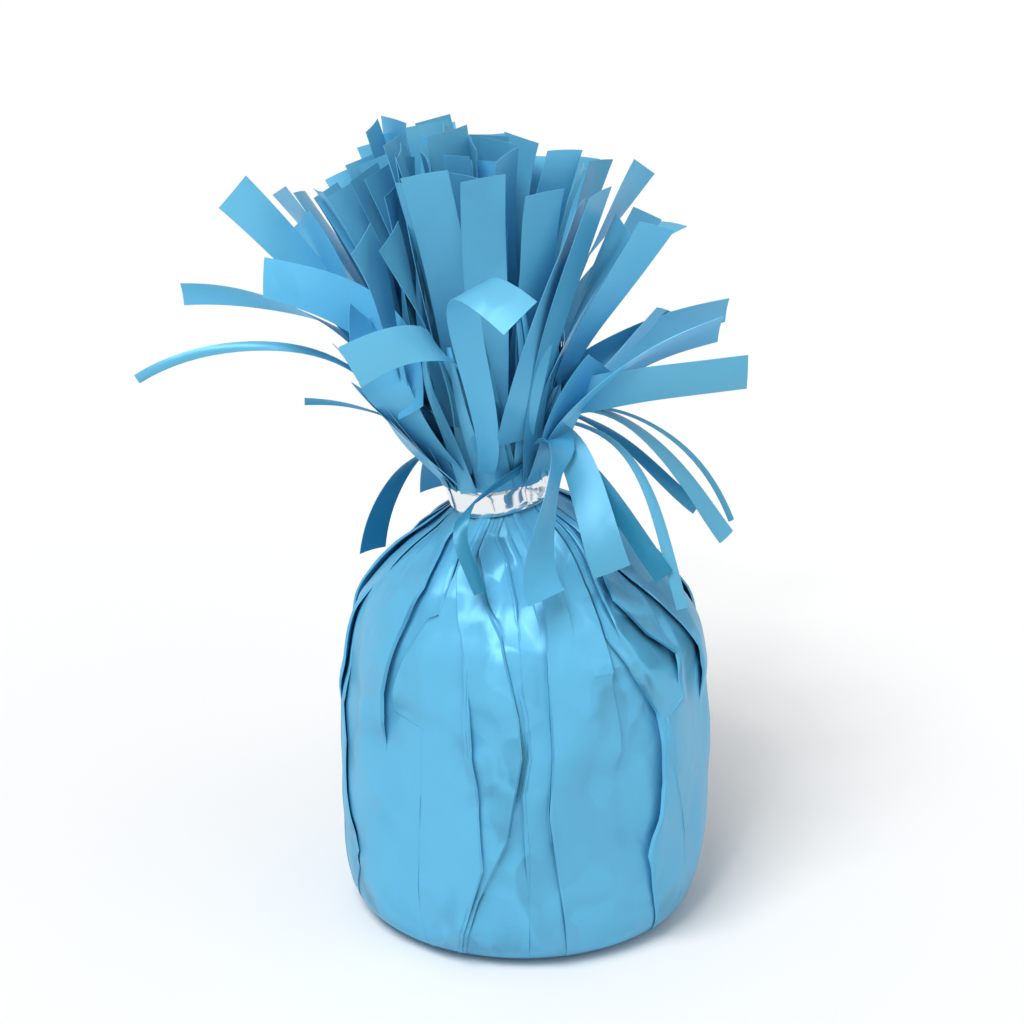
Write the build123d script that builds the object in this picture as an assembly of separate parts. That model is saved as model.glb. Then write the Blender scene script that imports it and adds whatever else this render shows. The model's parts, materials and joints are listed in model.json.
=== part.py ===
from build123d import *
import math
import os

# Balloon weight: a cement ballast in a plastic cup, wrapped in one round sheet of film.
# The film is gathered above the cup, tied at the neck with a twist tie, and slit above
# the tie into a fringe of strips. Millimetres and degrees. +Z is up, -Y is the front,
# and the origin is the centre of the face that the weight stands on.

# Film. The real sheet is about 0.05 thick, and is thickened here so that it is a solid.
FILM_THICKNESS = 0.3
FILM_CLEARANCE = 0.4
CUT_OVERRUN = 1.0

# Ballast cup, the cement cast in it, and the card disc that closes it
CUP_HEIGHT = 42.0
CUP_BASE_RADIUS = 27.8
CUP_RIM_RADIUS = 28.2
CUP_CORNER_RADIUS = 5.5
CUP_WALL = 0.8
PLUG_CLEARANCE = 0.1
PLUG_HEADSPACE = 3.0
LID_THICKNESS = 0.6

# Wrapped body: the film round the cup, with knife pleats that run up to the neck
FOOT_SPREAD = 1.0
WRAP_BELLY_BULGE = 1.5
SHOULDER_RISE = 28.5
PLEAT_COUNT = 22
PLEAT_DEPTH = 1.2
PLEAT_STEEP_SHARE = 0.25
# Pleat shares at even steps round the foot's corner, from the flat base up to the side
FOOT_PLEAT_SHARES = (0.0, 0.05, 0.12, 0.22, 0.35)
# Each side station: share of the height up to the shoulder, share of the bulge, share of the pleat
SIDE_SHARES = (
    (0.24, 0.75, 0.5),
    (0.62, 1.0, 0.8),
    (1.0, 0.0, 1.0),
)
# Each shoulder station: share of the rise, share of the radius left over the neck, share of the pleat
SHOULDER_SHARES = (
    (0.31, 0.92, 1.0),
    (0.58, 0.69, 1.0),
    (0.77, 0.42, 0.9),
    (0.90, 0.18, 0.6),
    (1.00, 0.00, 0.3),
)

# Neck: the gathered film under the tie. It stands off centre and leans to the left.
NECK_RADIUS = 7.8
NECK_LENGTH = 5.4
NECK_CORE_RADIUS = 2.5
NECK_SHIFT = -3.5
NECK_LEAN = 8.0

# Twist tie: a steel wire between a liner and a metallised film, with its ends twisted together
TIE_WIDTH = 4.6
TIE_LAYER = 0.45
TIE_CLEARANCE = 0.08
TIE_WIRE_RADIUS = 0.25
TAIL_LENGTH = 13.0
TAIL_WIDTH = 3.4
TAIL_THICKNESS = 0.9
TAIL_AZIMUTH = 78.0
TAIL_HALF_TURNS = 3
TAIL_STEPS_PER_HALF_TURN = 6
TAIL_CLEARANCE = 0.3

# Collar: the gathered film above the tie, up to where the slits begin
COLLAR_HEIGHT = 16.0
COLLAR_RIM_RADIUS = 17.0
COLLAR_PLEAT_COUNT = 14
COLLAR_PLEAT_DEPTH = 2.6
# Each collar station: share of the height, share of the flare, share of the pleat
COLLAR_SHARES = (
    (0.0, 0.0, 0.15),
    (0.3, 0.18, 0.5),
    (0.65, 0.55, 0.8),
    (1.0, 1.0, 1.0),
)

# Fringe: strips that stand in rings on the collar, and loose strips that bend out of it
STRIP_WIDTH = 7.5
STRIP_LENGTH = 41.0
STRIP_GAP = 0.6
ROOT_CLEARANCE = 0.3
CUT_SPREAD_SHARE = 0.14
GOLDEN_SHARE = 0.618
# Each ring: share of the rim's radius, tilt at the root, further bend up to the tip
RING_RADIUS_SHARES = (0.12, 0.30, 0.48, 0.66, 0.84)
RING_TILTS = (2.0, 7.0, 13.0, 19.0, 26.0)
RING_BENDS = (3.0, 5.0, 7.0, 9.0, 12.0)
RING_STRAIGHT_SHARE = 0.3
LEAN_BEND = 14.0
# Places in a ring with no standing strip, by ring and place: those cut there curl over to the front
RING_GAPS = {4: (5, 6)}
# Strips that lean their own way, by ring and place: shares of the strip's length from the middle of the collar's
# rim to the tip, to the right, to the back and up
RING_TIP_SHARES = {
    2: {
        2: (-0.45, 0.10, 0.85),
        3: (-0.22, -0.34, 0.93),
        4: (0.38, -0.12, 0.95),
        5: (0.42, 0.16, 0.92),
    },
    3: {
        3: (-0.59, 0.10, 0.77),
        4: (-0.38, -0.34, 0.75),
        5: (0.05, -0.34, 0.93),
        6: (0.27, -0.30, 0.86),
        7: (0.47, 0.00, 0.94),
        8: (0.65, 0.29, 0.80),
    },
    4: {
        3: (-1.01, 0.05, 0.79),
        4: (-0.50, -0.32, 0.73),
        7: (0.47, -0.20, 0.88),
        8: (0.69, -0.15, 0.71),
        9: (0.65, 0.20, 0.63),
    },
}

# Loose strips: azimuth, roll, tilt at the root, tilt at the tip, then shares of the collar's height up to the
# root, of the length that is straight, of the full length and of the full width. Azimuth 0 is to the right and
# -90 is to the front. A tilt of 90 is level, and 180 is straight down. A roll leans the strip sideways.
LOOSE_STRIP_ANGLES_AND_SHARES = {
    "strip_left_long": (184, 0, 44, 110, 1.0, 0.1, 1.02, 0.35),
    "strip_left_upper": (166, 0, 33, 94, 1.0, 0.1, 0.92, 0.9),
    "strip_left_level": (228, 34, 18, 54, 1.0, 0.3, 0.76, 1.0),
    "strip_front_left_curl": (255, 50, 10, 45, 1.0, 0.3, 0.46, 1.0),
    "strip_front_curl": (277, -10, 12, 122, 1.0, 0.5, 0.72, 1.0),
    "strip_right_level": (-52, -88, 30, 52, 1.0, 0.3, 0.82, 1.0),
    "strip_right_raised": (-25, -88, 36, 52, 1.0, 0.3, 0.70, 0.95),
    "strip_rear_right_level": (46, 0, 60, 92, 1.0, 0.3, 0.80, 1.0),
    "strip_rear_curl": (92, 0, 40, 120, 1.0, 0.3, 0.80, 1.0),
    "strip_rear_left_level": (130, 0, 50, 88, 1.0, 0.3, 0.86, 1.0),
    "strip_front_wide": (-42, 0, 94, 166, 0.45, 0.1, 0.66, 0.9),
    "strip_right_narrow": (-8, -8, 90, 176, 0.45, 0.1, 0.94, 0.42),
    "strip_right_arch": (16, 0, 78, 174, 0.45, 0.1, 1.0, 0.62),
    "strip_rear_right_arch": (42, 0, 88, 146, 0.45, 0.1, 0.86, 0.55),
    "strip_left_short": (178, 0, 70, 76, 0.45, 0.5, 0.56, 0.3),
    "strip_front_thin": (-80, -26, 136, 162, 0.15, 0.4, 0.60, 0.36),
    "strip_front_twisted": (-54, -20, 132, 162, 0.15, 0.3, 0.64, 0.55),
    "strip_right_front_drop": (-20, -4, 106, 156, 0.15, 0.1, 0.74, 0.6),
    "strip_rear_hanging": (112, 0, 96, 158, 0.15, 0.1, 0.80, 0.8),
    "strip_left_hanging": (150, 0, 108, 170, 0.15, 0.1, 0.72, 0.7),
}

# Places that follow from the sizes above
cup_top_z = FILM_THICKNESS + CUP_HEIGHT
lid_top_z = cup_top_z + LID_THICKNESS
side_radius = CUP_RIM_RADIUS + FILM_CLEARANCE + FILM_THICKNESS + PLEAT_DEPTH
shoulder_z = lid_top_z + FILM_CLEARANCE + FILM_THICKNESS
neck_z = shoulder_z + SHOULDER_RISE
rim_height = NECK_LENGTH + COLLAR_HEIGHT
tie_inner_radius = NECK_RADIUS + TIE_CLEARANCE
wire_ring_radius = tie_inner_radius + TIE_LAYER
foil_inner_radius = wire_ring_radius + TIE_CLEARANCE
foil_outer_radius = foil_inner_radius + TIE_LAYER
tie_middle = NECK_LENGTH / 2

# The neck's own frame: tie, collar and fringe are built along its leaning axis
neck_frame = Pos(NECK_SHIFT, 0, neck_z) * Rot(0, -NECK_LEAN, 0)


def pleated_ring(place, radius, depth, count, steep_share):
    """A closed outline of knife pleats: each crest drops steeply, then climbs slowly to the next."""
    step = 2 * math.pi / count
    points = []
    for i in range(count):
        for angle, reach in ((i * step, radius), ((i + steep_share) * step, radius - depth)):
            points.append(Vector(reach * math.cos(angle), reach * math.sin(angle), 0))
    return place * Wire.make_polygon(points, close=True)


def wrap_profile():
    """The crest of the wrapped body as stations: radius, height, share of the way from the neck, pleat share."""
    flat_radius = CUP_BASE_RADIUS - CUP_CORNER_RADIUS + FOOT_SPREAD
    foot_rise = CUP_CORNER_RADIUS + FILM_THICKNESS
    steps = len(FOOT_PLEAT_SHARES) - 1
    stations = []
    for i, pleat in enumerate(FOOT_PLEAT_SHARES):
        angle = math.pi / 2 * i / steps
        radius = flat_radius + (side_radius - flat_radius) * math.sin(angle)
        stations.append((radius, foot_rise * (1 - math.cos(angle)), 1.0, pleat))
    for rise, bulge, pleat in SIDE_SHARES:
        stations.append((side_radius + WRAP_BELLY_BULGE * bulge, shoulder_z * rise, 1.0, pleat))
    for rise, spread, pleat in SHOULDER_SHARES:
        radius = NECK_RADIUS + (side_radius - NECK_RADIUS) * spread
        stations.append((radius, shoulder_z + SHOULDER_RISE * rise, spread, pleat))
    return stations


def inset_profile(stations, distance):
    """The same stations moved square to the profile, into the film, by its thickness."""
    moved = []
    for i, (radius, height, spread, pleat) in enumerate(stations):
        before = stations[max(i - 1, 0)]
        after = stations[min(i + 1, len(stations) - 1)]
        along = Vector(after[0] - before[0], after[1] - before[1], 0).normalized()
        if i == 0:
            along = Vector(1, 0, 0)
        moved.append((radius - distance * along.Y, height + distance * along.X, spread, pleat))
    return moved


def wrap_sections(stations):
    """One pleated outline for each station, drawn over to the leaning neck as the radius closes in."""
    sections = []
    for radius, height, spread, pleat in stations:
        drawn = 1 - spread
        place = Pos(NECK_SHIFT * drawn, 0, height) * Rot(0, -NECK_LEAN * drawn, 0)
        sections.append(pleated_ring(place, radius, PLEAT_DEPTH * pleat, PLEAT_COUNT, PLEAT_STEEP_SHARE))
    return sections


def film_wrap():
    """The sheet from under the cup to the top of the neck: a pleated shell, closed below."""
    outside = wrap_profile()
    neck_pleat = PLEAT_DEPTH * outside[-1][3]
    outer = wrap_sections(outside)
    neck_top = neck_frame * Pos(0, 0, NECK_LENGTH)
    outer.append(pleated_ring(neck_top, NECK_RADIUS, neck_pleat, PLEAT_COUNT, PLEAT_STEEP_SHARE))
    inside = inset_profile(outside, FILM_THICKNESS)[:-1]
    inner = wrap_sections(inside)
    for height in (0, NECK_LENGTH + CUT_OVERRUN):
        inner.append(
            pleated_ring(neck_frame * Pos(0, 0, height), NECK_CORE_RADIUS, 0, PLEAT_COUNT, PLEAT_STEEP_SHARE)
        )
    return Solid.make_loft(outer, ruled=True) - Solid.make_loft(inner, ruled=True)


def film_collar():
    """The gathered sheet above the tie, as one pleated bundle that flares up to the slits."""
    sections = []
    for rise, flare, pleat in COLLAR_SHARES:
        place = neck_frame * Pos(0, 0, NECK_LENGTH + COLLAR_HEIGHT * rise)
        radius = NECK_RADIUS + (COLLAR_RIM_RADIUS - NECK_RADIUS) * flare
        depth = COLLAR_PLEAT_DEPTH * pleat
        sections.append(pleated_ring(place, radius, depth, COLLAR_PLEAT_COUNT, PLEAT_STEEP_SHARE))
    return Solid.make_loft(sections, ruled=True)


def cup_outline(inset, top):
    """Half section of the cup, or of what fills it, moved in by an inset and cut off at a height."""
    slope = (CUP_RIM_RADIUS - CUP_BASE_RADIUS) / CUP_HEIGHT
    bottom = inset
    base_radius = CUP_BASE_RADIUS + slope * bottom - inset
    top_radius = CUP_BASE_RADIUS + slope * top - inset
    outline = make_face(
        Polyline((0, bottom), (base_radius, bottom), (top_radius, top), (0, top), close=True)
    )
    corner = outline.vertices().group_by(Axis.Y)[0].sort_by(Axis.X)[-1]
    return fillet(corner, CUP_CORNER_RADIUS - min(inset, CUP_CORNER_RADIUS / 2))


def turned(outline):
    """A half section in X and Z, turned round the standing axis."""
    return Pos(0, 0, FILM_THICKNESS) * revolve(Rot(90, 0, 0) * outline, Axis.Z)


def ballast_cup():
    """A thin tapered cup that holds the cement while it sets."""
    hollow = cup_outline(CUP_WALL, CUP_HEIGHT + CUT_OVERRUN)
    return turned(cup_outline(0, CUP_HEIGHT)) - turned(hollow)


def ballast_plug():
    """The cement, cast in the cup and a little smaller for its shrinkage."""
    plug = turned(cup_outline(CUP_WALL + PLUG_CLEARANCE, CUP_HEIGHT - PLUG_HEADSPACE))
    return Pos(0, 0, -PLUG_CLEARANCE) * plug


def cup_lid():
    """A card disc on the rim, which keeps cement dust off the film."""
    return Pos(0, 0, cup_top_z) * extrude(Circle(CUP_RIM_RADIUS), LID_THICKNESS)


def tie_band(inner_radius, outer_radius):
    """One layer of the tie, grooved for the wire that runs between the layers."""
    band = extrude(Circle(outer_radius) - Circle(inner_radius), TIE_WIDTH)
    groove = tie_wire_ring(TIE_WIRE_RADIUS + TIE_CLEARANCE)
    return neck_frame * (Pos(0, 0, tie_middle - TIE_WIDTH / 2) * band - groove)


def tie_wire_ring(section_radius):
    """A round ring on the line of the tie's wire, in the neck's frame."""
    middle_radius = wire_ring_radius + TIE_CLEARANCE / 2
    return Pos(0, 0, tie_middle) * Torus(middle_radius, section_radius)


def tie_tail():
    """The two ends of the tie, twisted together into a flat bar that turns along its length."""
    steps = TAIL_HALF_TURNS * TAIL_STEPS_PER_HALF_TURN
    corners = [
        Vector(across * TAIL_THICKNESS / 2, up * TAIL_WIDTH / 2, 0)
        for across, up in ((-1, -1), (1, -1), (1, 1), (-1, 1))
    ]
    sections = []
    for i in range(steps + 1):
        out = Pos(0, 0, TAIL_LENGTH * i / steps)
        turn = Rot(0, 0, 180 * TAIL_HALF_TURNS * i / steps)
        sections.append(out * turn * Wire.make_polygon(corners, close=True))
    return tail_root() * Rot(0, 90, 0) * Solid.make_loft(sections, ruled=True)


def tail_root():
    """Where the tail leaves the tie, with X pointing out of the neck."""
    reach = foil_outer_radius + TAIL_CLEARANCE
    return neck_frame * Rot(0, 0, TAIL_AZIMUTH) * Pos(reach, 0, tie_middle)


def strip(width, length, bend, straight_share):
    """A flat strip from the origin: straight up +Z for a share of its length, then bent evenly towards +X."""
    straight = length * straight_share
    bend_radius = (length - straight) / math.radians(bend)
    section = Rectangle(FILM_THICKNESS, width)
    bent = revolve(section, Axis((bend_radius, 0, 0), (0, 1, 0)), revolution_arc=bend)
    if straight == 0:
        return bent
    return extrude(section, straight) + Pos(0, 0, straight) * bent


def leaning_strip(root, tip_shares):
    """A strip from a root frame to its own tip, bowed evenly so that it ends further out than it starts."""
    rim_middle = (neck_frame * Pos(0, 0, rim_height)).position
    rim = Plane(root)
    chord = rim_middle + Vector(*tip_shares) * STRIP_LENGTH - rim.origin
    along = chord.normalized()
    outward = (rim.x_dir - along * rim.x_dir.dot(along)).normalized()
    corner_dip = STRIP_WIDTH / 2 * abs(along.cross(outward).dot(rim.z_dir))
    bow = LEAN_BEND / 2
    length = chord.length * math.radians(bow) / math.sin(math.radians(bow))
    place = Plane(origin=rim.origin + rim.z_dir * corner_dip, x_dir=outward, z_dir=along).location
    return place * Rot(0, -bow, 0) * strip(STRIP_WIDTH, length, LEAN_BEND, 0)


def ring_strips(ring):
    """One ring of standing strips, as many as fit side by side, each cut to its own length."""
    radius = COLLAR_RIM_RADIUS * RING_RADIUS_SHARES[ring]
    count = math.floor(math.pi / math.atan((STRIP_WIDTH + STRIP_GAP) / (2 * radius)))
    leaning = RING_TIP_SHARES.get(ring, {})
    strips = []
    for i in range(count):
        azimuth = 360 * (i + ring * GOLDEN_SHARE) / count
        root = neck_frame * Rot(0, 0, azimuth) * Pos(radius, 0, rim_height + ROOT_CLEARANCE)
        if i in leaning:
            strips.append(leaning_strip(root, leaning[i]))
        elif i not in RING_GAPS.get(ring, ()):
            uneven = (i + ring) * GOLDEN_SHARE % 1
            length = STRIP_LENGTH * (1 - CUT_SPREAD_SHARE * uneven)
            upright = strip(STRIP_WIDTH, length, RING_BENDS[ring], RING_STRAIGHT_SHARE)
            strips.append(root * Rot(0, RING_TILTS[ring], 0) * upright)
    return Compound(children=strips)


def side_radius_of_collar(height):
    """The collar's crest radius at a height above the neck, read along its stations and level past the rim."""
    share = min(height / COLLAR_HEIGHT, 1)
    for low, high in zip(COLLAR_SHARES, COLLAR_SHARES[1:]):
        if low[0] <= share <= high[0]:
            flare = low[1] + (high[1] - low[1]) * (share - low[0]) / (high[0] - low[0])
            return NECK_RADIUS + (COLLAR_RIM_RADIUS - NECK_RADIUS) * flare


def loose_root(name):
    """The frame of a loose strip's root: X out of the collar, Y along the hinge line, Z up the strip's own lean."""
    azimuth, roll, _, _, root_share, _, _, width_share = LOOSE_STRIP_ANGLES_AND_SHARES[name]
    height = COLLAR_HEIGHT * root_share
    corner_rise = STRIP_WIDTH * width_share / 2 * abs(math.sin(math.radians(roll)))
    reach = side_radius_of_collar(height + corner_rise) + ROOT_CLEARANCE
    return neck_frame * Rot(0, 0, azimuth) * Pos(reach, 0, NECK_LENGTH + height) * Rot(roll, 0, 0)


def loose_strip(name):
    """One loose strip, bent from its root's tilt to its tip's tilt."""
    _, _, tilt, tip_tilt, _, straight_share, length_share, width_share = LOOSE_STRIP_ANGLES_AND_SHARES[name]
    bent = strip(STRIP_WIDTH * width_share, STRIP_LENGTH * length_share, tip_tilt - tilt, straight_share)
    return loose_root(name) * Rot(0, tilt, 0) * bent


def all_parts():
    """Every sub-part by its name."""
    parts = {
        "ballast_cup": ballast_cup(),
        "ballast_plug": ballast_plug(),
        "cup_lid": cup_lid(),
        "film_wrap": film_wrap(),
        "film_collar": film_collar(),
        "tie_liner": tie_band(tie_inner_radius, wire_ring_radius),
        "tie_wire": neck_frame * tie_wire_ring(TIE_WIRE_RADIUS),
        "tie_foil": tie_band(foil_inner_radius, foil_outer_radius),
        "tie_tail": tie_tail(),
    }
    for ring in range(len(RING_RADIUS_SHARES)):
        parts[f"fringe_ring_{ring + 1}"] = ring_strips(ring)
    for name in LOOSE_STRIP_ANGLES_AND_SHARES:
        parts[name] = loose_strip(name)
    return parts


os.makedirs("parts", exist_ok=True)
for part_name, shape in all_parts().items():
    export_step(shape, f"parts/{part_name}.step")
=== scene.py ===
# %% [markdown]
# A balloon weight: a heavy cup wrapped in one sheet of pastel blue film. The film is drawn up over the cup,
# tied with a metallised twist tie, and slit above the tie into a fringe of soft strips. This lesson dresses
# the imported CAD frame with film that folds, a crumpled tie and a full fringe, and lights it like a product
# photograph. Lengths in the tables are millimetres, because that is how the thing would be measured.

import json
import math
import random

import bpy
import numpy as np
from mathutils import Matrix, Vector


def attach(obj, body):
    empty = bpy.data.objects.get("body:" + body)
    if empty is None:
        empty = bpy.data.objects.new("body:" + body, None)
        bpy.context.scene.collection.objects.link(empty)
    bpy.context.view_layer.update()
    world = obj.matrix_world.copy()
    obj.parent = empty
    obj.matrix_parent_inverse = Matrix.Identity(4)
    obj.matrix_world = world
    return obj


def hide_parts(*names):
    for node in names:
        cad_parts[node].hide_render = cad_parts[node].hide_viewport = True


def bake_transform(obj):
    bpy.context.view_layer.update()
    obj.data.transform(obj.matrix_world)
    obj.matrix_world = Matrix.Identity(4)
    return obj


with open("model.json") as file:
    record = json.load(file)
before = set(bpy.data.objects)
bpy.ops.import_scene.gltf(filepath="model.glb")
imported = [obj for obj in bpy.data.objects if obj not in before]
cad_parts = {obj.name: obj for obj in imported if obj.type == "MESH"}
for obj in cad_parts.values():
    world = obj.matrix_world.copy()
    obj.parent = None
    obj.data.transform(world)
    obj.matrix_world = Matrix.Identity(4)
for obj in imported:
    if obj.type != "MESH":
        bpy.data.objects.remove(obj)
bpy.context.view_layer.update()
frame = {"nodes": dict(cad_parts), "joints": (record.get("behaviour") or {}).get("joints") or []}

# %% [markdown]
# Blender measures in metres, so one factor turns the tables into scene units. A few small helpers are used
# all through: a step with soft ends, a ring of points, the attribute that tells the film's material how
# crumpled the film is, a new object in the scene, and a mesh object from points and faces.

# %% Helpers for meshes
MM = 0.001
SHARP_FOLD = math.radians(38)


def soft_step(x):
    x = np.clip(x, 0, 1)
    return x * x * (3 - 2 * x)


def ring_points(place, radius, azimuth, height=0.0):
    """Points about the Z of a frame, from their radius, azimuth and height."""
    flat = np.stack([radius * np.cos(azimuth), radius * np.sin(azimuth), height + 0 * azimuth], axis=-1)
    return flat @ np.array(place.to_3x3()).T + np.array(place.translation)


def set_crumple(piece, amount):
    crumple = piece.data.attributes.new("crumple", "FLOAT", "POINT")
    crumple.data.foreach_set("value", amount.astype(np.float32))


def new_object(name, data):
    thing = bpy.data.objects.new(name, data)
    bpy.context.scene.collection.objects.link(thing)
    return thing


def mesh_object(name, points, faces, material):
    mesh = bpy.data.meshes.new(name)
    mesh.from_pydata([tuple(p) for p in np.asarray(points) * MM], [], faces)
    mesh.polygons.foreach_set("use_smooth", [True] * len(mesh.polygons))
    mesh.set_sharp_from_angle(angle=SHARP_FOLD)
    mesh.materials.append(material)
    return new_object(name, mesh)


# %% [markdown]
# The camera stands in front, looks down a little, and is far enough away that the fringe is hardly magnified.
# Because its place is known, a point seen in the photograph can be put back in space: at_pixel follows the
# line of sight of one pixel until it meets a given depth. Depth is measured along Y, and less is nearer.

# %% Camera
TARGET = Vector((-1.9, 0.0, 69.5))
ELEVATION = math.radians(22)
DISTANCE = 600.0
PIXELS_PER_MM = 6.08
PICTURE_SIZE = 1024
SENSOR = 36.0
FORWARD = Vector((0, math.cos(ELEVATION), -math.sin(ELEVATION)))
UPWARD = Vector((0, math.sin(ELEVATION), math.cos(ELEVATION)))
EYE = TARGET - FORWARD * DISTANCE
FOCAL = PIXELS_PER_MM * DISTANCE

lens = bpy.data.cameras.new("camera")
lens.sensor_width = SENSOR
lens.lens = SENSOR * FOCAL / PICTURE_SIZE
lens.clip_start = 0.01
camera = new_object("camera", lens)
camera.location = EYE * MM
camera.rotation_euler = (math.pi / 2 - ELEVATION, 0, 0)
bpy.context.scene.camera = camera


def at_pixel(pixel, depth):
    across = (pixel[0] - PICTURE_SIZE / 2) / FOCAL
    up = (PICTURE_SIZE / 2 - pixel[1]) / FOCAL
    sight = FORWARD + Vector((1, 0, 0)) * across + UPWARD * up
    return EYE + sight * ((depth - EYE.y) / sight.y)


def to_pixels(points):
    away = np.asarray(points) - np.array(EYE)
    reach = away @ np.array(FORWARD)
    x = PICTURE_SIZE / 2 + FOCAL * away[..., 0] / reach
    y = PICTURE_SIZE / 2 - FOCAL * (away @ np.array(UPWARD)) / reach
    return np.stack([x, y], axis=-1)


print("lens", round(lens.lens, 2))

# %% [markdown]
# Materials. The film is a satin polyester: pastel blue, a little pearly, with a slightly greyer back. Colours
# are written as sRGB and turned to linear light by one function. Another adds a node and sets its sockets, and
# the rest are short names for the nodes that are needed more than once.

# %% Material helpers
def linear(code):
    parts = [int(code[i : i + 2], 16) / 255 for i in (1, 3, 5)]
    return tuple(c / 12.92 if c <= 0.04045 else ((c + 0.055) / 1.055) ** 2.4 for c in parts) + (1.0,)


def add(tree, kind, inputs=None, **settings):
    node = tree.nodes.new(kind)
    for key, value in settings.items():
        setattr(node, key, value)
    for key, value in (inputs or {}).items():
        if isinstance(value, bpy.types.NodeSocket):
            tree.links.new(value, node.inputs[key])
        else:
            node.inputs[key].default_value = value
    return node


def new_material(name, inputs):
    """A material, its node tree and its shader, with these inputs of the shader set."""
    material = bpy.data.materials.new(name)
    material.use_nodes = True
    shader = material.node_tree.nodes["Principled BSDF"]
    for label, value in inputs.items():
        shader.inputs[label].default_value = value
    return material, material.node_tree, shader


def maths(tree, operation, *values):
    return add(tree, "ShaderNodeMath", dict(enumerate(values)), operation=operation).outputs[0]


def vectors(tree, operation, *values, scale=None):
    inputs = dict(enumerate(values))
    if scale is not None:
        inputs["Scale"] = scale
    node = add(tree, "ShaderNodeVectorMath", inputs, operation=operation)
    return node.outputs["Value" if operation == "LENGTH" else "Vector"]


def colour_mix(tree, share, a, b):
    return add(tree, "ShaderNodeMix", {0: share, 6: a, 7: b}, data_type="RGBA").outputs[2]


def noise(tree, grain, **inputs):
    """The outputs of a noise over the object, with its grain in millimetres."""
    place = add(tree, "ShaderNodeTexCoord").outputs["Object"]
    return add(tree, "ShaderNodeTexNoise", {"Vector": place, "Scale": 1 / (grain * MM), **inputs}).outputs


def bump(tree, height, strength, distance):
    inputs = {"Height": height, "Strength": strength, "Distance": distance * MM}
    return add(tree, "ShaderNodeBump", inputs).outputs["Normal"]


# %% Film material
FILM_FACE = "#6eb3d6"
FILM_BACK = "#6cacca"
FILM_SHADER = {
    "Metallic": 0.12,
    "Roughness": 0.40,
    "Specular IOR Level": 0.5,
    "Specular Tint": linear("#d4eefb"),
}
# A tone below nought is painted shade: it also shifts the hue and the saturation towards film in shade, by how
# much, and from which value
PAINTED_SHADE_HUE = (-0.012, 0.5)
PAINTED_SHADE_SATURATION = (-0.4, 1.1)
CRINKLE_SIZE = 3.0
CRINKLE_HEIGHT = 0.05
CRINKLE_STRENGTH = 0.35
# Crumpled film is made of flat facets: their sizes with how far each tilts, and how far their edges wander
FACETS = ((11.0, 0.8), (5.0, 0.5))
FACET_SCALE = (1.0, 1.0, 0.6)
WANDER = 9.0
WANDER_SIZE = 12.0


def film_material():
    material, tree, shader = new_material("satin_polyester_film", FILM_SHADER)
    reverse, tone, crumple = (
        add(tree, "ShaderNodeAttribute", attribute_name=name).outputs["Fac"]
        for name in ("reverse", "tone", "crumple")
    )
    # The tone lifts or lowers the value: painted light and shade on strips given a tone of their own, a random tone
    # elsewhere. Below nought it is painted shade and also shifts hue and saturation.
    painted_shade = maths(tree, "MINIMUM", tone, 0.0)
    inputs = {
        "Hue": maths(tree, "MULTIPLY_ADD", painted_shade, *PAINTED_SHADE_HUE),
        "Saturation": maths(tree, "MULTIPLY_ADD", painted_shade, *PAINTED_SHADE_SATURATION),
        "Value": maths(tree, "ADD", tone, 1.0),
        "Color": colour_mix(tree, reverse, linear(FILM_FACE), linear(FILM_BACK)),
    }
    shade = add(tree, "ShaderNodeHueSaturation", inputs)
    tree.links.new(shade.outputs["Color"], shader.inputs["Base Color"])

    crinkle = noise(tree, CRINKLE_SIZE, Detail=3.0, Roughness=0.5)[0]
    tilted = bump(tree, crinkle, CRINKLE_STRENGTH, CRINKLE_HEIGHT)
    wander = vectors(tree, "SCALE", noise(tree, WANDER_SIZE, Detail=1.0)["Color"], scale=WANDER * MM)
    place = add(tree, "ShaderNodeTexCoord").outputs["Object"]
    warped = vectors(tree, "ADD", vectors(tree, "MULTIPLY", place, FACET_SCALE), wander)
    for size, share in FACETS:
        inputs = {"Vector": warped, "Scale": 1 / (size * MM), "Smoothness": 0.25, "Randomness": 1.0}
        cells = add(tree, "ShaderNodeTexVoronoi", inputs, feature="SMOOTH_F1")
        lean = vectors(tree, "SUBTRACT", cells.outputs["Color"], (0.5, 0.5, 0.5))
        lean = vectors(tree, "SCALE", lean, scale=maths(tree, "MULTIPLY", crumple, share))
        tilted = vectors(tree, "ADD", tilted, lean)
    tree.links.new(vectors(tree, "NORMALIZE", tilted), shader.inputs["Normal"])
    return material


film = film_material()

# %% Tie and inner materials
FOIL_SHADER = {"Base Color": linear("#e9edf0"), "Metallic": 1.0, "Roughness": 0.14}
FOIL_GRAIN = 0.8
FOIL_HEIGHT = 0.03
FOIL_STRENGTH = 0.3
DARK_GRAIN = 0.82


def foil_material():
    material, tree, shader = new_material("metallised_film", FOIL_SHADER)
    crinkle = noise(tree, FOIL_GRAIN, Detail=2.0)[0]
    tree.links.new(bump(tree, crinkle, FOIL_STRENGTH, FOIL_HEIGHT), shader.inputs["Normal"])
    return material


def plain_material(name, colour, roughness, grain, metallic=0.0):
    material, tree, shader = new_material(name, {"Roughness": roughness, "Metallic": metallic})
    dark = [c * DARK_GRAIN for c in linear(colour)[:3]] + [1.0]
    mixed = colour_mix(tree, noise(tree, grain, Detail=4.0)[0], dark, linear(colour))
    tree.links.new(mixed, shader.inputs["Base Color"])
    return material


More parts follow.
